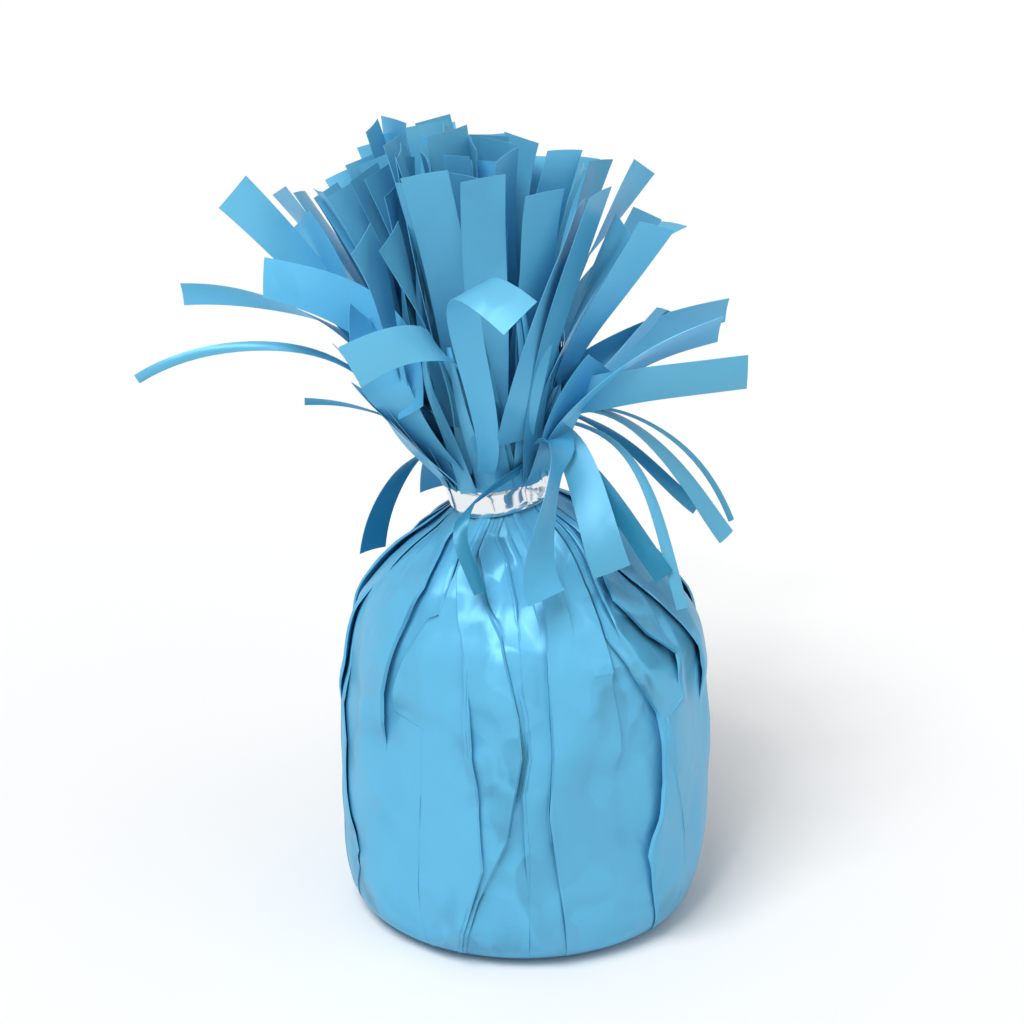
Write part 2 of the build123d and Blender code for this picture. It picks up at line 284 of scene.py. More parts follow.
foil = foil_material()
INNER_FINISHES = {
    "ballast_cup": plain_material("polystyrene_cup", "#e8ebec", 0.45, 6.0),
    "ballast_plug": plain_material("cement_mortar", "#9b9a94", 0.92, 2.0),
    "cup_lid": plain_material("grey_card", "#b9a98c", 0.85, 1.2),
    "tie_liner": plain_material("paper_liner", "#dfe3e6", 0.7, 1.5),
    "tie_wire": plain_material("steel_wire", "#9aa0a5", 0.3, 1.0, 1.0),
}
for name, material in INNER_FINISHES.items():
    node = frame["nodes"][name]
    node.data.materials.clear()
    node.data.materials.append(material)
print("materials", len(bpy.data.materials))

# %% [markdown]
# The wrapped body. One sheet starts under the cup, turns up round the foot, climbs the side and is drawn in
# over the shoulder to the neck, which stands off centre and leans. The spare width of the sheet has to go
# somewhere: it folds into knife pleats that run down from the neck and die out on the side. A mesh made row
# by row is the right tool, because each row can carry real folds, with a top layer, a turn back and a layer
# below, where a displaced surface could only make grooves.

# %% The rows of the sheet
NECK_RADIUS = 7.8
NECK_LENGTH = 5.4
NECK_SHIFT = -3.5
NECK_LEAN = math.radians(8)
NECK_Z = 72.1
SIDE_RADIUS = 30.1
neck_frame = Matrix.Translation((NECK_SHIFT, 0, NECK_Z)) @ Matrix.Rotation(-NECK_LEAN, 4, "Y")
# Radius and height of the crest, from the middle of the base up to the neck
WRAP_STATIONS = (
    (0.6, 0.5),
    (10.0, 0.45),
    (20.0, 0.35),
    (24.0, 0.3),
    (26.6, 0.9),
    (28.6, 2.6),
    (29.9, 5.6),
    (31.0, 11.0),
    (31.5, 19.0),
    (31.6, 27.0),
    (31.1, 36.0),
    (30.2, 43.6),
    (28.4, 52.4),
    (23.4, 60.1),
    (17.4, 65.5),
    (12.0, 69.3),
    (8.4, 71.7),
)
WRAP_ROWS = 84
NECK_ROWS = 7
NECK_INSET = 0.25
NECK_STEP = 0.6
DRAWN_IN_ABOVE = 30.0


def round_neck(azimuth):
    """The frame of the neck, turned by so many degrees."""
    return neck_frame @ Matrix.Rotation(math.radians(azimuth), 4, "Z")


def smooth_path(stations, count):
    """A soft curve through the stations, read at even steps of its length."""
    p = np.array(stations, float)
    p = np.vstack([2 * p[0] - p[1], p, 2 * p[-1] - p[-2]])
    t = np.linspace(0, 1, 12, endpoint=False)[:, None]
    curve = []
    for a, b, c, d in zip(p, p[1:], p[2:], p[3:]):
        curve.append(
            0.5 * (2 * b + (c - a) * t + (2 * a - 5 * b + 4 * c - d) * t**2 + (3 * b - a - 3 * c + d) * t**3)
        )
    curve = np.vstack(curve + [p[-2][None]])
    length = np.concatenate([[0], np.cumsum(np.linalg.norm(np.diff(curve, axis=0), axis=1))])
    at = np.linspace(0, length[-1], count)
    return np.stack([np.interp(at, length, curve[:, k]) for k in range(curve.shape[1])], axis=1), at


def wrap_rows():
    """Each row: crest radius, the matrix of its plane, and how far it is along the sheet from the middle."""
    rows = []
    path, along = smooth_path(WRAP_STATIONS, WRAP_ROWS)
    for (radius, height), reach in zip(path, along):
        drawn = 0.0
        if height > DRAWN_IN_ABOVE:
            drawn = 1 - np.clip((radius - NECK_RADIUS) / (SIDE_RADIUS - NECK_RADIUS), 0, 1)
        place = Matrix.Translation((NECK_SHIFT * drawn, 0, height))
        rows.append((radius, place @ Matrix.Rotation(-NECK_LEAN * drawn, 4, "Y"), reach))
    for i in range(NECK_ROWS):
        height = NECK_LENGTH * (i + 0.3) / (NECK_ROWS - 0.7)
        place = neck_frame @ Matrix.Translation((0, 0, height))
        rows.append((NECK_RADIUS - NECK_INSET, place, along[-1] + NECK_STEP + height))
    return rows


rows = wrap_rows()
print("rows", len(rows), "reach of the sheet up to the tie", round(rows[-1][2], 1), "mm")

# %% [markdown]
# The pleats in front follow the photograph. Each fold is a short list of pixels along its
# shadow, from the top down, and is put back on the body by finding the point of the smooth body that the
# camera sees there. The first number says which side lies on top: 1 for the left side, -1 for the right.
# The second is how strong the fold is. The folds at the back are laid out by a seeded rule.

# %% The lines of the pleats
FOLDS_BY_PIXEL = {
    "left_notch": (1, 0.9, ((352, 612), (346, 648), (343, 672))),
    "left_edge": (1, 0.5, ((343, 692), (345, 740), (347, 791), (356, 850), (368, 900))),
    "left_soft": (-1, 0.35, ((425, 540), (392, 580), (366, 640), (360, 700))),
    "left_strong": (1, 1.3, ((452, 534), (428, 588), (395, 650), (386, 690), (384, 715))),
    "left_strong_side": (-1, 0.8, ((464, 556), (441, 600), (406, 655), (391, 692))),
    "middle_left": (-1, 0.7, ((468, 540), (467, 650), (468, 746))),
    "middle_left_low": (1, 0.9, ((470, 725), (476, 790), (482, 864), (479, 924))),
    "middle": (1, 0.9, ((477, 545), (500, 640), (518, 719), (520, 755), (505, 840), (484, 910))),
    "middle_low": (-1, 0.6, ((521, 764), (524, 810), (527, 855))),
    "middle_right": (-1, 0.9, ((526, 545), (543, 600), (552, 682), (555, 755), (550, 819), (543, 910))),
    "right_inner": (1, 1.0, ((553, 530), (580, 580), (598, 623), (612, 680), (620, 732))),
    "right_strong": (-1, 1.3, ((560, 540), (594, 625), (630, 670), (657, 714), (659, 782), (646, 854), (630, 924))),
    "right_split": (1, 0.8, ((663, 740), (672, 780), (684, 837), (684, 873))),
    "right_shoulder": (-1, 1.2, ((570, 545), (600, 592), (640, 628), (672, 650))),
    "right_upper": (-1, 0.9, ((580, 540), (630, 577), (680, 626), (700, 668))),
    "neck_a": (1, 0.5, ((430, 528), (404, 552))),
    "neck_b": (-1, 0.6, ((443, 524), (415, 560), (400, 590))),
    "neck_c": (1, 0.6, ((460, 522), (455, 560), (442, 598))),
    "neck_d": (-1, 0.6, ((480, 518), (484, 560), (488, 600))),
    "neck_e": (1, 0.7, ((492, 518), (505, 560), (515, 602))),
    "neck_f": (-1, 0.7, ((505, 518), (522, 560), (534, 600))),
    "neck_g": (1, 0.6, ((520, 518), (545, 560), (562, 604))),
    "neck_h": (-1, 0.7, ((535, 515), (572, 560), (604, 606))),
    "neck_i": (1, 0.6, ((548, 510), (600, 558), (640, 596))),
}
BACK_FOLDS = 13
BACK_FROM, BACK_TO = math.radians(-4), math.radians(172)
BACK_SWAY = 0.10
BACK_FOOT_SHARES = (0.26, 0.6)
BACK_STRENGTHS = (0.5, 1.2)
BACK_LEFT_SHARE = 0.6
FOLD_FADE_ROWS = 5
# A fold that is seen above this share of the rows goes on to the tie, and folds are put in order at this row
NECK_SHARE = 0.8
ORDER_SHARE = 0.8
rng = np.random.default_rng(11)


def body_grid():
    """Azimuths in front, and where the camera sees the smooth body at every row and azimuth."""
    azimuths = np.radians(np.arange(-178.0, -1.0, 1.0))
    return azimuths, to_pixels([ring_points(place, radius, azimuths) for radius, place, _ in rows])


def on_body(pixel, azimuths, seen):
    away = np.linalg.norm(seen - np.array(pixel), axis=-1)
    i, j = np.unravel_index(np.argmin(away), away.shape)
    return i, azimuths[j]


def fold_lines():
    """Each fold: its azimuth and its presence in every row, its side, its strength, and if it is in front."""
    azimuths, seen = body_grid()
    every = np.arange(len(rows))
    beyond = 2 * len(rows)
    lines = []
    for side, strength, pixels in FOLDS_BY_PIXEL.values():
        points = sorted(on_body(p, azimuths, seen) for p in pixels)
        at, turn = np.array(points).T
        high = at[-1] if at[-1] < NECK_SHARE * len(rows) else beyond
        lines.append([np.interp(every, at, turn), (at[0], high), side, strength, True])
    for i in range(BACK_FOLDS):
        middle = BACK_FROM + (BACK_TO - BACK_FROM) * (i + 0.5) / BACK_FOLDS
        sway = rng.uniform(-BACK_SWAY, BACK_SWAY)
        turn = middle + sway * np.sin(every / len(rows) * 7 + rng.uniform(0, 6))
        low = len(rows) * rng.uniform(*BACK_FOOT_SHARES)
        side = 1 if rng.random() < BACK_LEFT_SHARE else -1
        lines.append([turn, (low, beyond), side, rng.uniform(*BACK_STRENGTHS), False])
    lines.sort(key=lambda line: line[0][int(len(rows) * ORDER_SHARE)])
    for line in lines:
        low, high = line[1]
        line[1] = soft_step((every - low) / FOLD_FADE_ROWS + 1) * soft_step((high - every) / FOLD_FADE_ROWS + 1)
    return lines


folds = fold_lines()
print("folds", len(folds))

# %% [markdown]
# The film is stiff enough to crease. Besides the pleats it carries short straight creases, sharp along
# their ridge and gone at their ends, and a slow unevenness from being pulled tight by hand. Both are one
# height for each place on the body, added to every layer there, so a crease doesn't make the layers cut.

# %% Creases
CREASES = 170
CREASE_LENGTH = (4.0, 14.0)
CREASE_WIDTH = (1.2, 4.5)
CREASE_HEIGHT = (0.10, 0.50)
SWELL_HEIGHT = 0.35
# Creases seen in the photograph: from a pixel to a pixel, height, width on its left and on its right
SEEN_CREASES = (
    ((430, 560), (372, 640), 0.5, 3.0, 6.0),
    ((470, 690), (516, 716), 0.6, 2.0, 3.5),
    ((438, 700), (470, 742), 0.5, 2.0, 4.5),
    ((394, 690), (440, 722), 0.4, 2.0, 5.0),
    ((578, 676), (634, 660), 0.8, 1.6, 4.5),
    ((585, 694), (602, 738), 0.6, 3.5, 1.8),
    ((604, 772), (628, 742), 0.7, 1.8, 4.0),
    ((478, 750), (492, 792), 0.8, 3.5, 1.8),
    ((492, 792), (478, 806), -0.7, 1.8, 2.5),
    ((478, 800), (510, 830), 0.8, 1.8, 3.5),
    ((444, 770), (472, 802), 0.6, 3.0, 2.0),
    ((440, 898), (488, 922), 0.6, 1.8, 3.0),
    ((458, 934), (482, 902), 0.6, 3.0, 1.6),
    ((598, 912), (637, 930), 0.6, 1.8, 3.0),
    ((562, 888), (546, 942), 0.6, 3.0, 1.6),
    ((428, 876), (450, 922), 0.5, 3.5, 1.8),
    ((640, 758), (656, 832), 0.6, 4.5, 1.8),
    ((350, 830), (376, 902), 0.6, 2.0, 4.0),
    ((398, 850), (432, 902), 0.4, 2.5, 5.0),
    ((372, 690), (352, 760), 0.4, 2.5, 5.0),
)


def off_crease(across, up, lean):
    """How far a place is along a leaning crease, and how far beside it."""
    on = across * math.cos(lean) + up * math.sin(lean)
    return on, np.abs(across * math.sin(lean) - up * math.cos(lean))


def crease_field(azimuth, reach, radius, count, low, high, heights, seen=()):
    """The height of the film over the smooth body, from slow swells, creases seen and seeded creases."""
    field = SWELL_HEIGHT * (
        np.sin(3 * azimuth + reach / 9) * np.sin(reach / 13 + 1)
        + 0.6 * np.sin(7 * azimuth - reach / 11) * np.cos(reach / 8)
    )
    for (turn_a, reach_a), (turn_b, reach_b), height, left, right in seen:
        along = np.array([(turn_b - turn_a) * radius, reach_b - reach_a])
        length = np.hypot(*along)
        x, y = (azimuth - turn_a) * radius, reach - reach_a
        on = (x * along[0] + y * along[1]) / length**2 * 2 - 1
        off = (y * along[0] - x * along[1]) / length
        off = np.where(off > 0, off / right, -off / left)
        field = field + height * np.clip(1 - off, 0, 1) * np.clip(1 - on**4, 0, 1)
    for _ in range(count):
        middle, level = rng.uniform(-math.pi, math.pi), rng.uniform(low, high)
        lean = math.pi / 2 + rng.normal(0, 0.7)
        half, width = rng.uniform(*CREASE_LENGTH), rng.uniform(*CREASE_WIDTH)
        height = rng.uniform(*heights) * rng.choice([-1, 1])
        across = ((azimuth - middle + math.pi) % (2 * math.pi) - math.pi) * radius
        on, off = off_crease(across, reach - level, lean)
        field = field + height * np.clip(1 - off / width, 0, 1) * np.clip(1 - (on / half) ** 2, 0, 1) ** 2
    return field


# %% [markdown]
# Now a row is drawn. At a fold the film rises along a ramp to the edge, turns back under itself, and comes
# forward again as the lower layer that becomes the next panel. How far it turns back follows from the sheet:
# a row far from the middle of the sheet has more film than the body has room for, and the folds share out
# what is left over, each only as far as the next fold. A fold that is not present in a row lies flat there.
# Ramps only ever add up, and hidden layers are shares of the ramp above them, which keeps the layers apart.

# %% Where the folds lie in a row
FRONT_STEPS = 9
BACK_STEPS = 5
FOLD_LIP = 0.3
RAMP_LENGTH = 12.0
RAMP_SHARE = 1.6
CREST_SHARE = 0.7
ROOM_SHARE = 0.98
UNDER_SHARE = 0.9
LEAST_RADIUS = 4.0
LEAST_PRESENCE = 0.3
# In lips: the step between the points of a fold that lies flat, and where the panel beside a fold begins
FLAT_STEP = 0.2
PANEL_EDGE = 1.3
# Offsets along the row, in lips and in turns back, and the share of the ramp's height
FOLD_SHAPE = ((0, 0, 1.0), (1, 0, 0.7), (0, -0.5, 0.2), (0, -1, 0.05), (0, -0.5, 0.0), (1.2, 0, 0.0))


def in_order(turn, present, gap):
    """The folds' azimuths in one row: those present keep their place, the others are laid between them."""
    turn = turn.copy()
    keep = np.flatnonzero(present > LEAST_PRESENCE)
    if len(keep) < 2:
        keep = np.array([0, len(turn) - 1])
    for a, b in zip(keep, keep[1:]):
        turn[b] = max(turn[b], turn[a] + gap * (b - a))
    for a, b in zip(keep, list(keep[1:]) + [keep[0] + len(turn)]):
        low, high = turn[a], turn[b % len(turn)] + 2 * math.pi * (b >= len(turn))
        for j in range(a + 1, b):
            around = 2 * math.pi * (j >= len(turn))
            low = np.clip(turn[j % len(turn)] + around, low + gap, max(high - gap * (b - j), low + gap))
            turn[j % len(turn)] = low - around
    return turn


def room_behind(turn, present, side):
    """How far each fold can turn back before it meets the next fold that is present."""
    keep = np.flatnonzero(present > LEAST_PRESENCE)
    room = np.full(len(turn), math.pi)
    for k in keep:
        gaps = (side[k] * (turn[k] - turn[keep])) % (2 * math.pi)
        room[k] = min(gaps[keep != k], default=math.pi)
    return room


# %% Draw the rows
def fold_row(turn, present, side, lip, under, front):
    """Azimuth, share of its ramp and fold of every point in a row; panel points have no fold."""
    points = []
    for k in range(len(turn)):
        shape = FOLD_SHAPE if side[k] > 0 else FOLD_SHAPE[::-1]
        for j, (lips, turns, share) in enumerate(shape):
            drawn = side[k] * (lips * lip + turns * under[k])
            flat = (j - (len(shape) - 1) / 2) * FLAT_STEP * lip
            points.append((turn[k] + present[k] * drawn + (1 - present[k]) * flat, share, k))
        after = turn[k + 1] if k + 1 < len(turn) else turn[0] + 2 * math.pi
        steps = FRONT_STEPS if front[k] else BACK_STEPS
        edge = PANEL_EDGE * lip
        for step in range(1, steps):
            t = step / steps
            points.append((turn[k] + edge + (after - turn[k] - 2 * edge) * t, 1.0, -1))
    return np.array(points).T


def pleated_points(rows, folds, depths, field_of, least_gap):
    """Points of a pleated sheet: one list of columns for every row."""
    turns, presences, side, strengths, front = zip(*folds)
    side = np.array(side)
    grid = []
    for i, (radius, place, reach) in enumerate(rows):
        broad = max(radius, LEAST_RADIUS)
        present = np.array([line[i] for line in presences])
        turn = in_order(np.array([line[i] for line in turns]), present, least_gap / broad)
        strength = present * strengths
        ramp = min(RAMP_LENGTH, RAMP_SHARE * 2 * math.pi * radius / max(present.sum(), 3)) / radius
        spare = math.pi * max(reach / radius - 1, 0) * strength / max(strength.sum(), 0.1)
        room = ROOM_SHARE * room_behind(turn, present, side)
        under = np.minimum(np.minimum(spare, UNDER_SHARE * ramp), room)
        azimuth, share, own = fold_row(turn, present, side, FOLD_LIP / broad, under, front)
        before = (side * (turn - azimuth[:, None]) + math.pi) % (2 * math.pi) - math.pi
        rises = np.where(before >= -1e-9, np.clip(1 - before / ramp, 0, 1), 0) * strength
        height = rises.sum(axis=1)
        of_fold = np.flatnonzero(own >= 0)
        k = own[of_fold].astype(int)
        whole = np.clip(1 - np.maximum(before[of_fold, k], 0) / ramp, 0, 1) * strength[k]
        height[of_fold] += share[of_fold] * whole - rises[of_fold, k]
        field = field_of(azimuth, reach, radius, i)
        out = np.maximum(radius + depths[i] * (height - CREST_SHARE) + field, 0.3)
        grid.append(ring_points(place, out, azimuth))
    return np.array(grid)


def sheet_faces(count, columns):
    """Quads between rows, each row closed into a ring."""
    faces = []
    for i in range(count - 1):
        for j in range(columns):
            k = (j + 1) % columns
            faces.append((i * columns + j, i * columns + k, (i + 1) * columns + k, (i + 1) * columns + j))
    return faces


# %% The wrapped body
BODY_PLEAT = 1.35
SHOULDER_PLEAT = 1.9
NECK_PLEAT = 0.55
FOOT_PLEAT = 0.2
FILM_THICKNESS = 0.1
WRAP_GAP = 0.7
CREASES_FROM = 30.0
FILM_CRUMPLE = 0.4
COLUMN_CRUMPLE = 0.6
SHOULDER_CRUMPLE = 0.7
FOOT_CRUMPLE = 0.4


def pleat_depths():
    """How deep the pleats are in each row, and how much of the creases shows there."""
    depths, weights = [], []
    for radius, place, _ in rows:
        height = place.translation.z
        rise = soft_step((height - 1.0) / 26.0) * (BODY_PLEAT - FOOT_PLEAT) + FOOT_PLEAT * soft_step(height / 3)
        if height > 45:
            rise = BODY_PLEAT + (SHOULDER_PLEAT - BODY_PLEAT) * soft_step((28 - radius) / 8)
            rise = NECK_PLEAT + (rise - NECK_PLEAT) * soft_step((radius - 8.4) / 5)
        depths.append(rise)
        weights.append(soft_step((height - 0.4) / 6.0) * soft_step((radius - 7.6) / 8.0))
    return depths, weights


def wrap_crumple(points):
    """More crumpled down the middle in front, on the right shoulder and at the foot, and flat below."""
    x, y, z = points.T
    column = np.exp(-(((x + 2) / 6) ** 2)) * (y < 0)
    shoulder = soft_step((x - 4) / 8) * soft_step((z - 42) / 8)
    foot = 1 - soft_step((z - 6) / 8)
    amount = FILM_CRUMPLE + COLUMN_CRUMPLE * column + SHOULDER_CRUMPLE * shoulder + FOOT_CRUMPLE * foot
    return amount * soft_step((z - 0.5) / 4)


def wrap_sheet():
    depths, weights = pleat_depths()
    azimuths, pixels = body_grid()
    seen = []
    for *ends, height, left, right in SEEN_CREASES:
        (i, a), (k, b) = (on_body(pixel, azimuths, pixels) for pixel in ends)
        seen.append(((a, rows[i][2]), (b, rows[k][2]), height, left, right))
    seeds = rng.bit_generator.state
    span = (CREASES_FROM, rows[-1][2])

    def field_of(azimuth, reach, radius, i):
        rng.bit_generator.state = seeds
        return weights[i] * crease_field(azimuth, reach, radius, CREASES, *span, CREASE_HEIGHT, seen)

    grid = pleated_points(rows, folds, depths, field_of, WRAP_GAP)
    count, columns, _ = grid.shape
    points = np.vstack([grid.reshape(-1, 3), grid[0].mean(axis=0)])
    middle = len(points) - 1
    faces = sheet_faces(count, columns) + [(middle, (j + 1) % columns, j) for j in range(columns)]
    sheet = mesh_object("film_wrap_sheet", points, faces, film)
    set_crumple(sheet, wrap_crumple(points))
    return sheet


wrap = wrap_sheet()
layers = wrap.modifiers.new("both_faces", "SOLIDIFY")
layers.thickness = FILM_THICKNESS * MM
layers.offset = -1
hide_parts("film_wrap")
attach(wrap, "weight")

# %% [markdown]
# Above the tie the same pleats open again into a short flaring collar, up to where the slits begin. It is
# drawn with the same function, with closer and deeper folds and a ragged top edge. In front it is drawn in, so
# that the strips stand before it.

# %% The collar
COLLAR_STATIONS = ((7.6, 4.6), (7.9, 6.0), (9.3, 10.0), (11.2, 14.0), (13.4, 18.0), (15.0, 20.6))
COLLAR_ROWS = 24
COLLAR_FOLDS = 19
COLLAR_GAP = 0.8
COLLAR_PLEAT = 1.9
TIED_PLEAT = 0.35
COLLAR_CREASES = 60
COLLAR_CREASE_HEIGHT = (0.15, 0.5)
COLLAR_CRUMPLE = 0.8
# How far along the sheet the collar lies
COLLAR_FROM, COLLAR_TO = 108, 126
FRONT_TUCK = 5.5
RAGGED_WAVES = (9, 23)
RAGGED_HEIGHT = 2.0


def collar_sheet():
    path, along = smooth_path(COLLAR_STATIONS, COLLAR_ROWS)
    collar_rows = [
        (radius, neck_frame @ Matrix.Translation((0, 0, height)), COLLAR_FROM + reach)
        for (radius, height), reach in zip(path, along)
    ]
    every = np.ones(COLLAR_ROWS)
    lines = []
    for i in range(COLLAR_FOLDS):
        turn = 2 * math.pi * (i + rng.uniform(-0.3, 0.3)) / COLLAR_FOLDS - math.pi
        drift = rng.normal(0, 0.12) * np.linspace(0, 1, COLLAR_ROWS)
        lines.append([turn + drift, every, rng.choice([-1, 1]), rng.uniform(0.6, 1.3), False])
    depths = [TIED_PLEAT + (COLLAR_PLEAT - TIED_PLEAT) * soft_step(reach / 12) for reach in along]
    seeds = rng.bit_generator.state
    creases = (COLLAR_CREASES, COLLAR_FROM, COLLAR_TO, COLLAR_CREASE_HEIGHT)

    def field_of(azimuth, reach, radius, i):
        rng.bit_generator.state = seeds
        tuck = FRONT_TUCK * np.clip(-np.sin(azimuth), 0, 1) ** 2 * i / COLLAR_ROWS
        return soft_step((radius - 7.6) / 3) * crease_field(azimuth, reach, radius, *creases) - tuck

    grid = pleated_points(collar_rows, lines, depths, field_of, COLLAR_GAP)
    count, columns, _ = grid.shape
    ragged = sum(0.5 * np.sin(np.linspace(0, 2 * math.pi * waves, columns)) for waves in RAGGED_WAVES)
    grid[..., 2] += np.linspace(0, 1, count)[:, None] ** 3 * ragged * RAGGED_HEIGHT
    sheet = mesh_object("film_collar_gathers", grid.reshape(-1, 3), sheet_faces(count, columns), film)
    set_crumple(sheet, np.full(count * columns, COLLAR_CRUMPLE))
    return sheet


collar = collar_sheet()
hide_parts("film_collar")
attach(collar, "weight")
print("collar triangles", 2 * len(collar.data.polygons))

# %% [markdown]
# The fringe. Every strip is the same thing, a ribbon along a soft curve, so one Geometry Nodes tree makes
# them all. Its input is a cloud with one vertex for each strip, and the strip's shape is held in attributes:
# four points of a Bezier curve, the half width at the root and at the tip, and some numbers. They are a curl
# across the strip, the height and start of a slow wave, how late the width turns from its direction at the
# root to that at the tip, and how soon it opens. A tone and a crumple go on to the material: the tone is
# painted light and shade on the strips that are given one of their own, and a random tone on the rest. The
# tree puts a thin box on every vertex and bends it along its own curve.

# %% The ribbon tree
RIBBON_STEPS = 22
RIBBON_COLUMNS = 5
WAVE_TURN = 9.0
CURVE_POINTS = ("p0", "p1", "p2", "p3")
VECTORS = CURVE_POINTS + ("w0", "w1")
SHAPE_NUMBERS = ("curl", "wave", "phase", "late", "opening")
LOOK_NUMBERS = ("tone", "crumple")
DEFAULTS = {"crumple": 0.16, "late": 1.0, "opening": 1.0}


def ribbon_tree():
    tree = bpy.data.node_groups.new("ribbons", "GeometryNodeTree")
    for label, way, kind in (
        ("Geometry", "INPUT", "NodeSocketGeometry"),
        ("Thickness", "INPUT", "NodeSocketFloat"),
        ("Geometry", "OUTPUT", "NodeSocketGeometry"),
    ):
        tree.interface.new_socket(label, in_out=way, socket_type=kind)
    given = add(tree, "NodeGroupInput").outputs

    def number(operation, *values):
        return maths(tree, operation, *values)

    def vector(operation, *values, scale=None):
        return vectors(tree, operation, *values, scale=scale)

    def mix(share, a, b):
        node = add(tree, "ShaderNodeMix", {0: share, 4: a, 5: b}, data_type="VECTOR", clamp_factor=False)
        return node.outputs[1]

    def named(label, kind):
        return add(tree, "GeometryNodeInputNamedAttribute", {"Name": label}, data_type=kind).outputs["Attribute"]

    box = add(
        tree,
        "GeometryNodeMeshCube",
        {"Size": (1, 1, 1), "Vertices X": 2, "Vertices Y": RIBBON_COLUMNS, "Vertices Z": RIBBON_STEPS},
    )
    put = add(tree, "GeometryNodeInstanceOnPoints", {"Points": given["Geometry"], "Instance": box.outputs["Mesh"]})
    real = add(tree, "GeometryNodeRealizeInstances", {"Geometry": put.outputs["Instances"]})
    where = add(tree, "ShaderNodeSeparateXYZ", {0: add(tree, "GeometryNodeInputPosition").outputs[0]}).outputs
    along = number("ADD", where["Z"], 0.5)
    across = number("MULTIPLY", where["Y"], 2.0)
    side = number("MULTIPLY", where["X"], 2.0)

    p0, p1, p2, p3, w0, w1 = (named(label, "FLOAT_VECTOR") for label in VECTORS)
    curl, wave, phase, late, opening = (named(label, "FLOAT") for label in SHAPE_NUMBERS)
    a, b, c = mix(along, p0, p1), mix(along, p1, p2), mix(along, p2, p3)
    d, e = mix(along, a, b), mix(along, b, c)
    spot = mix(along, d, e)
    forward = vector("NORMALIZE", vector("SUBTRACT", e, d))
    width = mix(number("POWER", along, late), w0, w1)
    normal = vector("NORMALIZE", vector("CROSS_PRODUCT", forward, width))
    sideways = vector("NORMALIZE", vector("CROSS_PRODUCT", normal, forward))
    half, half_end = vector("LENGTH", w0), vector("LENGTH", w1)
    wider = number("MULTIPLY", number("SUBTRACT", half_end, half), number("POWER", along, opening))
    reach = number("ADD", half, wider)

    cupped = number("MULTIPLY", number("SUBTRACT", 1.0, number("MULTIPLY", across, across)), curl)
    turned = number("ADD", number("MULTIPLY", along, WAVE_TURN), phase)
    ripple = number("MULTIPLY", wave, number("SINE", turned))
    face = number("MULTIPLY", side, number("MULTIPLY", given["Thickness"], 0.5))
    lift = number("ADD", number("ADD", cupped, ripple), face)
    moved = vector("ADD", spot, vector("SCALE", sideways, scale=number("MULTIPLY", reach, across)))
    moved = vector("ADD", moved, vector("SCALE", normal, scale=lift))

    inputs = {"Geometry": real.outputs["Geometry"], "Name": "reverse", "Value": number("GREATER_THAN", side, 0.0)}
    store = add(tree, "GeometryNodeStoreNamedAttribute", inputs, data_type="FLOAT", domain="POINT")
    inputs = {"Geometry": store.outputs["Geometry"], "Position": moved}
    geometry = add(tree, "GeometryNodeSetPosition", inputs).outputs["Geometry"]
    for label in VECTORS + SHAPE_NUMBERS:
        inputs = {"Geometry": geometry, "Name": label}
        geometry = add(tree, "GeometryNodeRemoveAttribute", inputs).outputs["Geometry"]
    smooth = add(tree, "GeometryNodeSetShadeSmooth", {"Geometry": geometry})
    finish = add(tree, "GeometryNodeSetMaterial", {"Geometry": smooth.outputs["Geometry"], "Material": film})
    add(tree, "NodeGroupOutput", {"Geometry": finish.outputs["Geometry"]})
    return tree


ribbons_group = ribbon_tree()
print("ribbon nodes", len(ribbons_group.nodes))

# %% Make strips from rows of values
def strip_values(shape, **numbers):
    """The values of one ribbon: its four points and two half widths, then its numbers."""
    return {**dict(zip(VECTORS, shape)), **numbers}


def ribbons(name, strips):
    """A piece with one ribbon for the values of every strip."""
    cloud = bpy.data.meshes.new(name + "_cloud")
    cloud.from_pydata([(0, 0, 0)] * len(strips), [], [])
    for label in VECTORS:
        values = cloud.attributes.new(label, "FLOAT_VECTOR", "POINT")
        values.data.foreach_set("vector", np.array([s[label] for s in strips], dtype=float).ravel() * MM)
    for label in SHAPE_NUMBERS + LOOK_NUMBERS:
        values = cloud.attributes.new(label, "FLOAT", "POINT")
        scale = MM if label in ("curl", "wave") else 1.0
        values.data.foreach_set("value", [s.get(label, DEFAULTS.get(label)) * scale for s in strips])
    maker = new_object(name + "_maker", cloud)
    modifier = maker.modifiers.new("ribbons", "NODES")
    modifier.node_group = ribbons_group
    thickness = next(s.identifier for s in ribbons_group.interface.items_tree if s.name == "Thickness")
    modifier[thickness] = FILM_THICKNESS * MM
    ready = maker.evaluated_get(bpy.context.evaluated_depsgraph_get())
    mesh = bpy.data.meshes.new_from_object(ready)
    mesh.name = name
    mesh.set_sharp_from_angle(angle=SHARP_FOLD)
    bpy.data.objects.remove(maker)
    bpy.data.meshes.remove(cloud)
    return new_object(name, mesh)


# %% [markdown]
# The loose strips have CAD bodies that swing on their roots. The first table repeats the CAD's angles: azimuth,
# roll, tilt at the root, tilt at the tip, then the shares of collar height, straight length, full length and
# full width. A strip at the back is rebuilt along that path. A strip that the photograph shows follows its
# curve there: where it starts, if that isn't the CAD's root, and two guide points, each as a pixel and a depth,
# then the depth of the tip and the two corners of the cut end.

